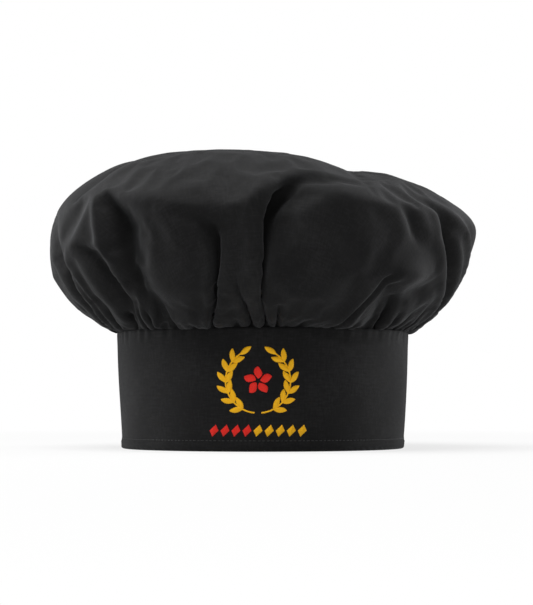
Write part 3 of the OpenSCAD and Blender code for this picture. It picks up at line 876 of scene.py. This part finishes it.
# %% Finishes for CAD pieces that stay
def plain_fibre(name, colour, worn, scale, roughness=0.9):
    """A felted or woven finish on Object coordinates: two sizes of noise mix two tones."""
    material, nodes, shader = new_material(name)
    place = nodes.add("ShaderNodeTexCoord").outputs["Object"]
    fibres = nodes.noise(place, scale, 4.0, 0.7)
    blotch = nodes.noise(place, scale / 12, 2.0)
    mixed = nodes.math("MULTIPLY", nodes.math("ADD", fibres, blotch), 0.5)
    nodes.put(shader.inputs["Base Color"],
              nodes.blend(nodes.ramp(mixed, 0.35, 0.65), (*colour, 1), (*worn, 1)))
    bump_node = nodes.add("ShaderNodeBump", None, Height=fibres, Distance=0.1 * MM, Strength=0.7)
    nodes.put(shader.inputs["Normal"], bump_node.outputs[0])
    shader.inputs["Roughness"].default_value = roughness
    shader.inputs["Specular IOR Level"].default_value = 0.25
    return material


felt = plain_fibre("pressed fibre", (0.62, 0.6, 0.54), (0.8, 0.78, 0.72), 900)
for node in ("headband_interfacing", "tab_interfacing"):
    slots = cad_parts[node].material_slots
    for slot in slots:
        slot.material = felt
    print(f"{node}: {len(slots)} slot(s) filled")

# %% [markdown]
# ## Stitches
#
# A row of machine stitches is a string of short threads, each diving into the cloth at both ends.
# One stitch is a tube of a few dozen faces that rises as half a wave.  All of a row's stitches are
# worked out together: the row's path gives a place, a direction along and a direction out for
# each, and the same small tube is laid in every one of those frames.


# %% Many small tubes in one mesh
def tubes(name, place, ahead, facing, along, up, thick, sides=6):
    """place, ahead and facing are (n, 3): one frame per tube.  along, up and thick are (m): the
    tube's middle line in that frame and its radius there.  A point of a tube is
    place + ahead * along + side * thick * cos(t) + facing * (up + thick * sin(t))."""
    ahead = ahead / np.linalg.norm(ahead, axis=-1, keepdims=True)
    facing = facing - (facing * ahead).sum(-1, keepdims=True) * ahead
    facing /= np.linalg.norm(facing, axis=-1, keepdims=True)
    side = np.cross(facing, ahead)
    turn = np.linspace(0, 2 * math.pi, sides, endpoint=False)
    along, up, thick = (np.broadcast_to(a, (len(place), len(thick)))[:, :, None]
                        for a in (along, up, thick))
    frames = [a[:, None, None, :] for a in (place, ahead, side, facing)]
    points = (frames[0] + frames[1] * along[..., None]
              + frames[2] * (thick * np.cos(turn))[..., None]
              + frames[3] * (up + thick * np.sin(turn))[..., None])
    index = np.arange(points[..., 0].size).reshape(points.shape[:3])
    ring = np.concatenate([index, index[:, :, :1]], axis=2)
    quads = np.stack([ring[:, :-1, :-1], ring[:, 1:, :-1], ring[:, 1:, 1:], ring[:, :-1, 1:]], -1)
    ends = np.concatenate([index[:, 0, :], index[:, -1, ::-1]])
    mesh = bpy.data.meshes.new(name)
    mesh.from_pydata(points.reshape(-1, 3).tolist(), [],
                     quads.reshape(-1, 4).tolist() + ends.tolist())
    return smooth_piece(name, mesh)


def along_path(path, out, pitch):
    """Places, directions ahead and directions out, one every pitch along a path of points."""
    walk = walked_along(path)
    count = max(1, int(walk[-1] // pitch))
    middle = (np.arange(count) + 0.5) * walk[-1] / count

    def at(where, values):
        return np.stack([np.interp(where, walk, values[:, k]) for k in range(3)], axis=-1)

    near = 0.1 * MM
    return at(middle, path), at(middle + near, path) - at(middle - near, path), at(middle, out)


def stitches(name, rows, body, nodes, pitch=2.7 * MM, thread=0.42 * MM, gap=0.55 * MM):
    """rows is a list of (path, out).  Each stitch is an arc of thread, pitch minus gap long, that
    is half buried at its ends."""
    frames = [np.concatenate(part) for part in zip(*(along_path(*row, pitch) for row in rows))]
    t = np.linspace(-1, 1, 6)
    piece = tubes(name, *frames, t * (pitch - gap) / 2,
                  thread * (0.42 * np.cos(t * math.pi / 2) - 0.12),
                  thread / 2 * np.array([0.45, 0.95, 1, 1, 0.95, 0.45]))
    return finish_piece(piece, black_thread, body, "thread", *nodes)


def thread_material(name, colour, light, sheen=0.08, roughness=0.6, plies=900.0):
    """Twisted thread: fine slanting plies, a paler crown and a slight gloss."""
    material, nodes, shader = new_material(name)
    place = nodes.add("ShaderNodeTexCoord").outputs["Object"]
    wave = nodes.add("ShaderNodeTexWave", None, Vector=place, Scale=plies, Distortion=3.0,
                     Detail=1.0)
    tone = nodes.math("MULTIPLY", nodes.math("ADD", wave.outputs["Fac"],
                                             nodes.noise(place, 350.0)), 0.5)
    nodes.put(shader.inputs["Base Color"], nodes.blend(tone, (*colour, 1), (*light, 1)))
    relief = nodes.add("ShaderNodeBump", None, Height=wave.outputs["Fac"], Distance=0.06 * MM,
                       Strength=0.6)
    nodes.put(shader.inputs["Normal"], relief.outputs[0])
    shader.inputs["Roughness"].default_value = roughness
    shader.inputs["Sheen Weight"].default_value = sheen
    shader.inputs["Sheen Roughness"].default_value = 0.3
    return material


black_thread = thread_material("black thread", (0.006, 0.006, 0.0065), (0.018, 0.018, 0.019))


def out_of_band(angle, side=1.0):
    """Horizontal direction away from the axis (or towards it) at each angle."""
    return np.stack([np.cos(angle), np.sin(angle), np.zeros_like(angle)], axis=-1) * side


def along_band(angle):
    """Horizontal direction round the band at each angle."""
    return np.stack([-np.sin(angle), np.cos(angle), np.zeros_like(angle)], axis=-1)


# %% Hem row and crown seam row
round_path = np.linspace(-math.pi, math.pi, 1200)
stitches("hem_stitches", [(on_band(round_path, np.full(1200, hem_line), 0.05 * MM),
                           out_of_band(round_path))], "hat", ["hem_stitching"])
seam_stitch_z = sum(span("crown_seam_stitching")["z"]) / 2
stitches("crown_seam_stitches",
         [(on_band(round_path, np.full(1200, seam_stitch_z), -wall_depth - 0.25 * MM, waves=0),
           out_of_band(round_path, -1))], "hat", ["crown_seam_stitching"])

# %% [markdown]
# ## The embroidery
#
# The motif is worked in satin stitch: side by side, threads are thrown right across each shape, so
# every grain and petal is a small padded dome whose surface is a row of fine ridges.  Rayon thread
# is glossy, and it catches the light differently wherever its direction turns.  Each shape is a
# grid with two columns for every thread, so the ridges and the uneven edge are really there.


# %% Satin-stitched shapes
emblem_x = (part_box("emblem_flower")[0][0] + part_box("emblem_wheat")[1][0]) / 2
row_z = 12.5 * MM
row_pitch = (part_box("emblem_wheat")[1][0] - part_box("emblem_flower")[0][0]) / 9
wreath_middle = 42 * MM
wreath_radius = 19 * MM


def satin(name, shapes, outline, threads=16, puff=0.75 * MM):
    """shapes is (n, 5): x, z of the start, direction, length and width.  Across the shape the pile
    of thread is half an ellipse; along it, outline(u) gives the width's share, and each thread
    adds a ridge |sin(pi u threads)|.  Threads slant a little, as they do when the hoop pulls."""
    start_x, start_z, turn, length, width = (shapes[:, k][:, None, None] for k in range(5))
    u = np.linspace(0, 1, 2 * threads + 1)[None, :, None]
    v = np.linspace(-1, 1, 9)[None, None, :]
    ragged = 1 + 0.07 * np.sin(u * threads * math.pi * 0.9 + start_x / MM + 2 * v)
    half = width / 2 * outline(u) * ragged + 0.12 * MM
    across = v * half
    forward = u * length + 0.3 * across
    rise_here = (1 - v ** 2) ** 0.5
    lift = puff * rise_here * (0.3 + 0.7 * outline(u)) + 0.06 * MM * np.abs(
        np.sin(np.pi * u * threads)) * rise_here - 0.06 * MM
    x = emblem_x + start_x + forward * np.cos(turn) - across * np.sin(turn)
    z = start_z + forward * np.sin(turn) + across * np.cos(turn)
    points = on_band(FRONT + np.arcsin(x / cone_radius(z)), z, lift)
    count, rows_here, columns_here = points.shape[:3]
    index = np.arange(count * rows_here * columns_here).reshape(points.shape[:3])
    quads = np.stack([index[:, :-1, :-1], index[:, 1:, :-1], index[:, 1:, 1:], index[:, :-1, 1:]], -1)
    mesh = bpy.data.meshes.new(name)
    mesh.from_pydata(points.reshape(-1, 3).tolist(), [], quads.reshape(-1, 4).tolist())
    ply = np.broadcast_to(np.stack(np.broadcast_arrays(
        u * threads + np.arange(count)[:, None, None] * 40, v * half / MM), axis=-1),
        (*points.shape[:3], 2)).reshape(-1, 2)
    layer = mesh.uv_layers.new(name="cloth")
    layer.data.foreach_set("uv", ply[quads.reshape(-1)].astype(np.float32).ravel())
    return smooth_piece(name, mesh)


def rayon(name, colour, dark):
    """Glossy embroidery thread: each thread its own tone, with painted shade in the dips between threads.
    """
    material, nodes, shader = new_material(name)
    place = nodes.add("ShaderNodeUVMap", {"uv_map": "cloth"}).outputs[0]
    each = nodes.noise(nodes.stretch(place, (1.0, 0.12, 1)), 1.6, 1.0)
    dip = nodes.math("ABSOLUTE", nodes.math("SINE", nodes.math(
        "MULTIPLY", nodes.add("ShaderNodeSeparateXYZ", None, Vector=place).outputs[0], math.pi)))
    # Painted shade in the dips between threads, times each thread's own tone.
    tone = nodes.math("MULTIPLY", nodes.ramp(dip, 0.0, 0.7), nodes.ramp(each, 0.1, 0.45))
    nodes.put(shader.inputs["Base Color"], nodes.blend(tone, (*dark, 1), (*colour, 1)))
    shader.inputs["Roughness"].default_value = 0.5
    shader.inputs["Specular IOR Level"].default_value = 0.25
    relief = nodes.add("ShaderNodeBump", None, Height=dip, Distance=0.08 * MM, Strength=0.5)
    nodes.put(shader.inputs["Normal"], relief.outputs[0])
    return material


gold_rayon = rayon("gold rayon", (0.98, 0.52, 0.004), (0.9, 0.42, 0.003))
red_rayon = rayon("red rayon", (0.88, 0.022, 0.012), (0.66, 0.014, 0.008))


def grain_outline(u):
    """Pointed at both ends and fullest in the middle."""
    return np.sin(np.pi * u) ** 0.8


def lozenge_outline(u):
    """Straight-sided diamond."""
    return 1 - np.abs(2 * u - 1)


# %% The two ears, the flower and the row below them
pair = np.arange(6)
ear_from, ear_sweep = -62, 118
climb = np.radians(ear_from + ear_sweep * pair / 6)
grain = 8 * MM
ear = np.concatenate([
    np.stack([wreath_radius * np.cos(climb), wreath_middle + wreath_radius * np.sin(climb),
              climb + math.pi / 2 + lean_out, np.full(6, grain), np.full(6, grain * 0.4)], axis=-1)
    for lean_out in np.radians((-34, 34))])
last = math.radians(ear_from + ear_sweep)
ear = np.vstack([ear, [wreath_radius * math.cos(last), wreath_middle + wreath_radius * math.sin(last),
                       last + math.pi / 2, grain, grain * 0.4]])
other_ear = ear * [-1, 1, -1, 1, 1] + [0, 0, math.pi, 0, 0]
stem_turn = np.radians(np.linspace(-84, 50, 24))
stem = np.stack([wreath_radius * np.cos(stem_turn), wreath_middle + wreath_radius * np.sin(stem_turn),
                 stem_turn + math.pi / 2, np.full(24, 2.3 * MM), np.full(24, 1.0 * MM)], axis=-1)
other_stem = stem * [-1, 1, -1, 1, 1] + [0, 0, math.pi, 0, 0]
place_in_row = (np.arange(9) - 4) * row_pitch
lozenges = np.stack([place_in_row - row_pitch * 0.4, np.full(9, row_z), np.zeros(9),
                     np.full(9, row_pitch * 0.8), np.full(9, 7.2 * MM)], axis=-1)
petal_turn = math.pi / 2 + np.arange(5) * 2 * math.pi / 5
petals = np.stack([1.4 * MM * np.cos(petal_turn), wreath_middle + 1.4 * MM * np.sin(petal_turn),
                   petal_turn, np.full(5, 7.1 * MM), np.full(5, 4.8 * MM)], axis=-1)

wheat_parts = [satin("wheat_grains", np.vstack([ear, other_ear]), grain_outline),
               satin("wheat_stems", np.vstack([stem, other_stem]), lambda u: 0.75 + 0 * u,
                     threads=4, puff=0.35 * MM),
               satin("gold_lozenges", lozenges[4:], lozenge_outline)]
flower_parts = [satin("petals", petals, grain_outline, puff=0.9 * MM),
                satin("red_lozenges", lozenges[:4], lozenge_outline)]
for parts, material, slot, node in ((wheat_parts, gold_rayon, "gold_thread", "emblem_wheat"),
                                    (flower_parts, red_rayon, "red_thread", "emblem_flower")):
    for part in parts:
        finish_piece(part, material, "hat", slot, node)

# %% [markdown]
# ## The closure at the back
#
# One end of the band is sewn down under its turned-in seam and runs on as a stiff tab.  The tab
# carries the hooks, the band under it the loops.  A tab is a flat bag turned right side out, so its
# section is a thin rounded slab, and its free corners are rounded because square ones would not
# turn.  The slab is one cloth over both bodies: it is thick over the seam and thin in the tab.

# %% Sizes of the closure
tab = span("tab_outer")
lap = span("lap_end")
free_edge, peel_line, lap_edge = tab["angle"][0], lap["angle"][0], lap["angle"][1]
tab_low, tab_high = tab["z"]
tab_middle, tab_half = (tab_low + tab_high) / 2, (tab_high - tab_low) / 2
around = (at_rim + at_seam) / 2
corner = 9 * MM
tab_face = 3.6 * MM
tab_back, lap_back = 2.75 * MM, 0.45 * MM


def slab(angles, middle, thick, reach, ends=8, flats=30):
    """Rings of a rounded slab, one per angle: flat faces joined by half circles of radius thick.
    reach is half the slab's height at each angle, and middle the offset of its mid-plane."""
    flat = np.linspace(-1, 1, flats)
    bend = np.linspace(-90, 90, ends + 2)[1:-1] * math.pi / 180
    height = np.concatenate([flat, np.ones(ends), -flat, -np.ones(ends)])
    over = np.concatenate([np.zeros(flats), np.cos(bend), np.zeros(flats), -np.cos(bend)])
    across = np.concatenate([np.full(flats, 1.0), -np.sin(bend), np.full(flats, -1.0), np.sin(bend)])
    z = tab_middle + height * (reach - thick)[:, None] + over * thick[:, None]
    return on_band(angles[:, None], z, middle[:, None] + across * thick[:, None], waves=0)


# %% The tab's cloth
from_free = np.concatenate([corner * (1 - np.cos(np.linspace(0, math.pi / 2, 16))),
                            np.linspace(corner, (lap_edge - free_edge) * around - 1.2 * MM, 52)[1:],
                            (lap_edge - free_edge) * around - 1.2 * MM * (1 - np.sin(np.linspace(
                                0, math.pi / 2, 6)[1:]))])
cover = 0.8 * MM
slab_angles = free_edge - cover / around + from_free * (1 + cover / from_free[-1]) / around
peel_at = (peel_line - free_edge) * around
to_end = from_free[-1] - from_free
thinned = np.sqrt(1 - (1 - np.clip(from_free / (0.9 * MM), 0.02, 1)) ** 2)
into_lap = smooth(peel_at + 0.2 * MM, peel_at + 4.5 * MM, from_free)
end_round = np.sqrt(1 - (1 - np.clip(to_end / (1.4 * MM), 0.05, 1)) ** 2)
slab_low = tab_back * (1 - into_lap) + lap_back * into_lap
slab_thick = (tab_face - slab_low) / 2 * thinned
slab_middle = (tab_face + slab_low) / 2
slab_thick = slab_thick * (into_lap * end_round + 1 - into_lap)
slab_middle = np.where(into_lap > 0.99, lap_back + slab_thick, slab_middle)
reach = tab_half - corner + np.sqrt(np.maximum(
    corner ** 2 - np.maximum(corner - from_free, 0) ** 2, 1e-12))
tab_points = slab(slab_angles, slab_middle, np.maximum(slab_thick, 0.03 * MM), reach + 0.6 * MM)
tab_walk = walked_along(tab_points[40])
tab_uv = np.stack(np.broadcast_arrays(np.append(tab_walk, tab_walk[-1] + 0.2 * MM)[None, :],
                                      from_free[:, None]), axis=-1)
tab_cloth = surface("tab_cloth", tab_points, tab_uv, closed=True)
finish_piece(tab_cloth, band_cloth, None, "band_cloth", "lap_end", "tab_outer")


def on_tab(angle, z, lift=0.0):
    """Points on the tab's outer face."""
    return on_band(angle, z, tab_face + lift, waves=0)


hinge_low = on_tab(np.array(peel_line + 3.2 * MM / around), tab_middle)
hinge_high = on_tab(np.array(peel_line - 3.2 * MM / around), tab_middle)
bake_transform(tab_cloth)

# %% The tab's lining
line_from = from_free[from_free < peel_at - 2.5 * MM]
line_from = line_from + 1.1 * MM * (1 - line_from / line_from[-1])
line_angles = free_edge + line_from / around
line_reach = tab_half - 1.1 * MM - (corner - 1.1 * MM) + np.sqrt(np.maximum(
    (corner - 1.1 * MM) ** 2 - np.maximum(corner - line_from, 0) ** 2, 1e-12))
line_share = np.linspace(-1, 1, 24)
line_points = on_band(line_angles[:, None], tab_middle + line_share * line_reach[:, None],
                      2.68 * MM, waves=0)
line_uv = np.stack(np.broadcast_arrays(line_share * tab_half, line_from[:, None]), axis=-1)
tab_lining = surface("tab_lining_cloth", line_points, line_uv)
thicken(tab_lining, 0.3 * MM)
finish_piece(tab_lining, lining_cloth, "tab", "lining_cloth", "tab_lining")


# %% Its stitches
def rising(angle, low, high, lift, side=1.0, count=60):
    """A straight row up the band, on the outer face (side 1) or the inner one (side -1)."""
    z = np.linspace(low, high, count)
    return on_band(np.full(count, angle), z, lift, waves=0), out_of_band(np.full(count, angle), side)


def level(z, start, stop, lift, side=1.0, count=90):
    """A row along the band from one angle to another."""
    angle = np.linspace(start, stop, count)
    return on_band(angle, np.full(count, z), lift, waves=0), out_of_band(angle, side)


def rectangle(node, lift, side=1.0):
    """Four rows round the rectangle that a CAD ring of stitches stands for."""
    (start, stop), (low, high) = span(node)["angle"], span(node)["z"]
    return [level(low, start, stop, lift, side), rising(stop, low, high, lift, side),
            level(high, stop, start, lift, side), rising(start, high, low, lift, side)]


inset = 2.5 * MM
turning = np.radians(np.linspace(0, 90, 16))
bent = corner - inset
low_corner = (free_edge + (corner - bent * np.sin(turning)) / around,
              tab_low + corner - bent * np.cos(turning))
edge_angle = np.concatenate([np.linspace(peel_line - inset / around, low_corner[0][0], 60)[:-1],
                             low_corner[0], low_corner[0][::-1],
                             np.linspace(low_corner[0][0], peel_line - inset / around, 60)[1:]])
edge_z = np.concatenate([np.full(59, tab_low + inset), low_corner[1],
                         2 * tab_middle - low_corner[1][::-1], np.full(59, tab_high - inset)])
stitches("tab_edge_stitches", [(on_tab(edge_angle, edge_z, 0.02 * MM), out_of_band(edge_angle))],
         "tab", ["tab_edge_stitching"])
stitches("lap_stitches",
         [rising(lap_edge - k * inset / around, tab_low + inset, tab_high - inset, tab_face)
          for k in (1, 3)], "lap", ["lap_stitching"])
stitches("hook_strip_stitches", rectangle("hook_strip_stitching", tab_face), "tab",
         ["hook_strip_stitching"])
stitches("loop_strip_stitches", rectangle("loop_strip_stitching", -wall_depth - 0.1 * MM, -1.0),
         "hat", ["loop_strip_stitching"])

# %% [markdown]
# Hook tape is a woven ribbon with rows of stiff nylon hooks; loop tape is the same ribbon with a
# brushed pile.  Both grip only because the small shapes are real, so both get them here: a few
# hundred bent threads each, standing on a thin ribbon.


# %% Hook and loop tapes
def ribbon(name, node, low, high, material, body, slot):
    """A thin slab over the CAD strip's own span, between two offsets, with tight edges."""
    (start, stop), (bottom, top) = span(node)["angle"], span(node)["z"]
    angles = np.linspace(start, stop, 60)
    share = np.linspace(0, 1, 30)
    face = on_band(angles, (bottom + (top - bottom) * share)[:, None], low, waves=0)
    uv = np.stack(np.broadcast_arrays(angles * around, (bottom + (top - bottom) * share)[:, None]),
                  axis=-1)
    piece = surface(name, face, uv)
    thicken(piece, high - low, 1.0)
    return finish_piece(piece, material, body, slot, node)


def spots(node, pitch, jitter, seed):
    """Places over a CAD strip, every pitch both ways and a margin in from its edges, each moved
    by a random share of the pitch."""
    (start, stop), (bottom, top) = span(node)["angle"], span(node)["z"]
    margin = 1.2 * MM
    turn = np.arange(start + margin / around, stop - margin / around, pitch / around)
    high = np.arange(bottom + margin, top - margin, pitch)
    turn, high = (a.ravel() for a in np.meshgrid(turn, high))
    draw = np.random.default_rng(seed).uniform(-jitter, jitter, (2, turn.size)) * pitch
    return turn + draw[0] / around, high + draw[1]


tape_black = plain_fibre("black tape", (0.008, 0.008, 0.009), (0.03, 0.03, 0.032), 1500)
nylon = plain_fibre("black nylon", (0.012, 0.012, 0.013), (0.03, 0.03, 0.032), 600, roughness=0.4)
ribbon("loop_tape", "loop_strip", 0.1 * MM, 0.55 * MM, tape_black, "hat", "loop_tape")
ribbon("hook_tape", "hook_strip", 1.85 * MM, 2.3 * MM, tape_black, "tab", "hook_tape")

turn, high = spots("loop_strip", 1.05 * MM, 0.5, 5)
swing = np.random.default_rng(6).uniform(0, 2 * math.pi, turn.size)
upright = np.array([0.0, 0.0, 1.0])
ahead = along_band(turn) * np.cos(swing)[:, None] + upright * np.sin(swing)[:, None]
arch = np.linspace(0, math.pi, 6)
pile = tubes("loop_pile", on_band(turn, high, 0.5 * MM, waves=0), ahead, out_of_band(turn),
             -0.42 * MM * np.cos(arch), 0.5 * MM * np.sin(arch), np.full(6, 0.07 * MM), sides=3)
finish_piece(pile, tape_black, "hat", "loop_tape", "loop_strip")

turn, high = spots("hook_strip", 1.45 * MM, 0.04, 7)
crook = np.radians(np.linspace(0, 200, 6))
hooks = tubes("hooks", on_band(turn, high, 1.9 * MM, waves=0), along_band(turn), -out_of_band(turn),
              0.2 * MM * (1 - np.cos(crook)), 0.3 * MM + 0.2 * MM * np.sin(crook),
              np.full(6, 0.08 * MM), sides=4)
finish_piece(hooks, nylon, "tab", "hook_tape", "hook_strip")

# %% [markdown]
# A care label hangs from the seam inside the band.  It is a blank satin ribbon, and only its upper
# edge is sewn, so its lower corners curl away from the lining.

# %% The care label
label_place = span("care_label")
label_rows, label_columns = np.linspace(1, 0, 26)[:, None], np.linspace(0, 1, 20)[None, :]
hang = 1 - label_rows
curl = (0.35 + 3.2 * hang ** 2.2 + 1.4 * hang ** 3 * (2 * label_columns - 1) ** 2
        + 0.25 * np.sin(7 * label_columns) * hang) * MM
label_angle = label_place["angle"][0] + np.ptp(label_place["angle"]) * label_columns
label_z = label_place["z"][0] + np.ptp(label_place["z"]) * label_rows
label_points = on_band(label_angle, label_z, -wall_depth - curl, waves=0)[::-1]
label_uv = np.stack(np.broadcast_arrays(label_angle * around, label_z), axis=-1)[::-1]
satin_white = cloth("white satin", (0.72, 0.71, 0.68), (0.8, 0.79, 0.77), pitch=0.3 * MM,
                    slubs=0.15, wear=0.1, relief=0.03 * MM, sheen=0.2)
label = surface("care_label_ribbon", label_points, label_uv)
thicken(label, 0.15 * MM)
finish_piece(label, satin_white, "hat", "label_tape", "care_label")

# %% [markdown]
# ## The slit's binding
#
# The crown is slit at the back so that the band can be made smaller.  A narrow strip folded over
# the raw edge runs up one side of the slit, round its head and down the other.  The strip is drawn
# on the crown's own grid: near the slit, the grid is read as a flat chart (millimetres sideways,
# millimetres up), so the strip follows every crease of the cloth that it binds.


# %% Reading the crown as a chart
crown_out = outward(crown_points)
up_slit = walked_along(crown_points[:, 0])
beside = np.linalg.norm(crown_points[:, 6] - crown_points[:, 0], axis=-1) / 6


def on_crown(sideways_by, up_by, lift):
    """Points lift proud of the crown's cloth, sideways_by from the slit's edge (negative on the
    other side) and up_by above the crown's lowest row, by bilinear interpolation on its grid."""
    row = np.interp(up_by, up_slit, np.arange(len(up_slit)))
    step = np.interp(up_by, up_slit, beside)
    last = crown_points.shape[1] - 1
    column = np.where(sideways_by >= 0, sideways_by / step, last + sideways_by / step)
    r0, c0 = np.floor(row).astype(int), np.floor(np.clip(column, 0, last - 1e-6)).astype(int)
    r0 = np.clip(r0, 0, len(up_slit) - 2)
    fr, fc = (row - r0)[..., None], (column - c0)[..., None]

    def read(grid):
        return ((grid[r0, c0] * (1 - fc) + grid[r0, c0 + 1] * fc) * (1 - fr)
                + (grid[r0 + 1, c0] * (1 - fc) + grid[r0 + 1, c0 + 1] * fc) * fr)

    return read(crown_points) + read(crown_out) * np.asarray(lift)[..., None]


# %% The binding strip
slit_top = up_slit[slit_end]
tape_reach = 5 * MM
rise_path = np.linspace(4 * MM, slit_top, 46)
head_turn = np.radians(np.linspace(0, 180, 17))[1:-1]
straight, round_head = np.ones(len(rise_path)), np.ones(len(head_turn))
path_up = np.concatenate([rise_path, slit_top * round_head, rise_path[::-1]])
aim_side = np.concatenate([straight, np.cos(head_turn), -straight])
aim_up = np.concatenate([0 * straight, np.sin(head_turn), 0 * straight])
fold_over = np.radians(np.linspace(90, 270, 7))
outer_run = np.linspace(1, 0, 6)[:-1]
reach_share = np.concatenate([outer_run * tape_reach, 0.45 * MM * np.cos(fold_over),
                              outer_run[::-1] * tape_reach])
strip_lift = np.concatenate([np.full(5, 0.42 * MM), (-0.25 + 0.67 * np.sin(fold_over)) * MM,
                             np.full(5, -0.92 * MM)])
side_by = aim_side[:, None] * np.maximum(reach_share, 0)
sign = np.where(aim_side >= 0, 1.0, -1.0)[:, None]
side_by = np.where(np.abs(side_by) < 1e-9, sign * 1e-9, side_by)
binding_points = on_crown(side_by, path_up[:, None] + aim_up[:, None] * np.maximum(reach_share, 0),
                          np.broadcast_to(strip_lift, side_by.shape))
over_edge = np.minimum(reach_share, 0)[None, :, None]
on_cloth = np.zeros((len(path_up), 1))
edge_side = on_crown(sign * 1 * MM, path_up[:, None], on_cloth) \
    - on_crown(sign * 1e-9, path_up[:, None], on_cloth)
edge_side /= np.linalg.norm(edge_side, axis=-1, keepdims=True)
in_slit = (np.abs(aim_side) > 0.99)[:, None, None]
binding_points += over_edge * edge_side * in_slit
binding_walk = walked_along(binding_points[:, 2])
binding_uv = np.stack(np.broadcast_arrays(np.linspace(0, 2 * tape_reach, len(strip_lift))[None, :],
                                          binding_walk[:, None]), axis=-1)
binding = surface("slit_binding_cloth", binding_points, binding_uv)
thicken(binding, 0.3 * MM, 1.0)
finish_piece(binding, band_cloth, "hat", "crown_cloth", "slit_binding")

# %% [markdown]
# ## Light and floor
#
# A plain studio: a broad soft light almost overhead, a little to the front left, weaker strips at
# both sides that draw a pale line down the band's edges, a faint fill from the front and a little
# light from all round.  The floor and the backdrop
# look white to the camera and to reflections, but throw only a modest light on the hat.


# %% Lights
def soft_light(name, place, aim, width, height, watts):
    """A rectangular lamp at place, turned to face aim."""
    lamp = bpy.data.lights.new(name, "AREA")
    lamp.shape = "RECTANGLE"
    lamp.size, lamp.size_y = width, height
    lamp.energy = watts
    holder = bpy.data.objects.new(name, lamp)
    holder.location = place
    step = np.array(aim) - np.array(place)
    holder.rotation_euler = (math.acos(-step[2] / np.linalg.norm(step)), 0,
                             math.atan2(step[1], step[0]) - math.pi / 2)
    bpy.context.collection.objects.link(holder)
    return holder


middle_of_hat = (0, 0, 0.11)
soft_light("key", (-0.28, -0.32, 1.3), middle_of_hat, 0.9, 0.9, 25)
soft_light("left strip", (-1.1, 0.35, 0.30), middle_of_hat, 0.4, 0.8, 6)
soft_light("right strip", (1.1, 0.35, 0.30), middle_of_hat, 0.4, 0.8, 8)
soft_light("front fill", (0.3, -1.6, 0.8), middle_of_hat, 1.2, 1.0, 3)


# %% Floor and world
def white_to_camera(nodes, surface_socket, lit):
    """Mixes a lit surface with a white glow that only camera, mirror and glass rays meet.  Near
    the hat a quarter of what they see is the lit floor, so it keeps a soft shadow; from 0.8 m away
    the glow is all there is, and floor and backdrop meet without a line."""
    where = nodes.add("ShaderNodeTexCoord").outputs["Object"]
    away = nodes.add("ShaderNodeVectorMath", {"operation": "LENGTH"})
    nodes.put(away.inputs[0], where)
    seen = nodes.ramp(away.outputs["Value"], -2.2, 0.8)
    path = nodes.add("ShaderNodeLightPath")
    glow = nodes.add("ShaderNodeEmission", None, Color=(1, 1, 1, 1), Strength=1.0)
    looked_at = nodes.math("MAXIMUM", path.outputs["Is Camera Ray"], path.outputs["Is Glossy Ray"])
    looked_at = nodes.math("MAXIMUM", looked_at, path.outputs["Is Transmission Ray"])
    factor = nodes.math("MULTIPLY", looked_at, seen)
    mix = nodes.add("ShaderNodeMixShader")
    nodes.put(mix.inputs[0], factor)
    nodes.put(mix.inputs[1], lit)
    nodes.put(mix.inputs[2], glow.outputs[0])
    nodes.put(surface_socket, mix.outputs[0])


floor_mesh = bpy.data.meshes.new("floor")
floor_half = 6.0
floor_mesh.from_pydata([(-floor_half, -floor_half, 0), (floor_half, -floor_half, 0),
                        (floor_half, floor_half, 0), (-floor_half, floor_half, 0)], [], [(0, 1, 2, 3)])
floor = bpy.data.objects.new("floor", floor_mesh)
bpy.context.collection.objects.link(floor)
floor_paint, floor_nodes, floor_shader = new_material("pale floor")
floor_shader.inputs["Base Color"].default_value = (0.6, 0.6, 0.6, 1)
floor_shader.inputs["Roughness"].default_value = 0.95
floor_shader.inputs["Specular IOR Level"].default_value = 0.0
floor_surface = floor_paint.node_tree.nodes["Material Output"].inputs["Surface"]
white_to_camera(floor_nodes, floor_surface, floor_shader.outputs[0])
floor_mesh.materials.append(floor_paint)

world = bpy.data.worlds.new("studio")
bpy.context.scene.world = world
world.use_nodes = True
air = world.node_tree.nodes["Background"]
air.inputs["Color"].default_value = (1, 1, 1, 1)
sky = Wires(world.node_tree)
ray = sky.add("ShaderNodeLightPath")
seen_ray = sky.math("MAXIMUM", ray.outputs["Is Camera Ray"], ray.outputs["Is Transmission Ray"])
ambient = 0.18
sky.put(air.inputs["Strength"],
        sky.math("ADD", sky.math("MULTIPLY", seen_ray, 1 - ambient), ambient))
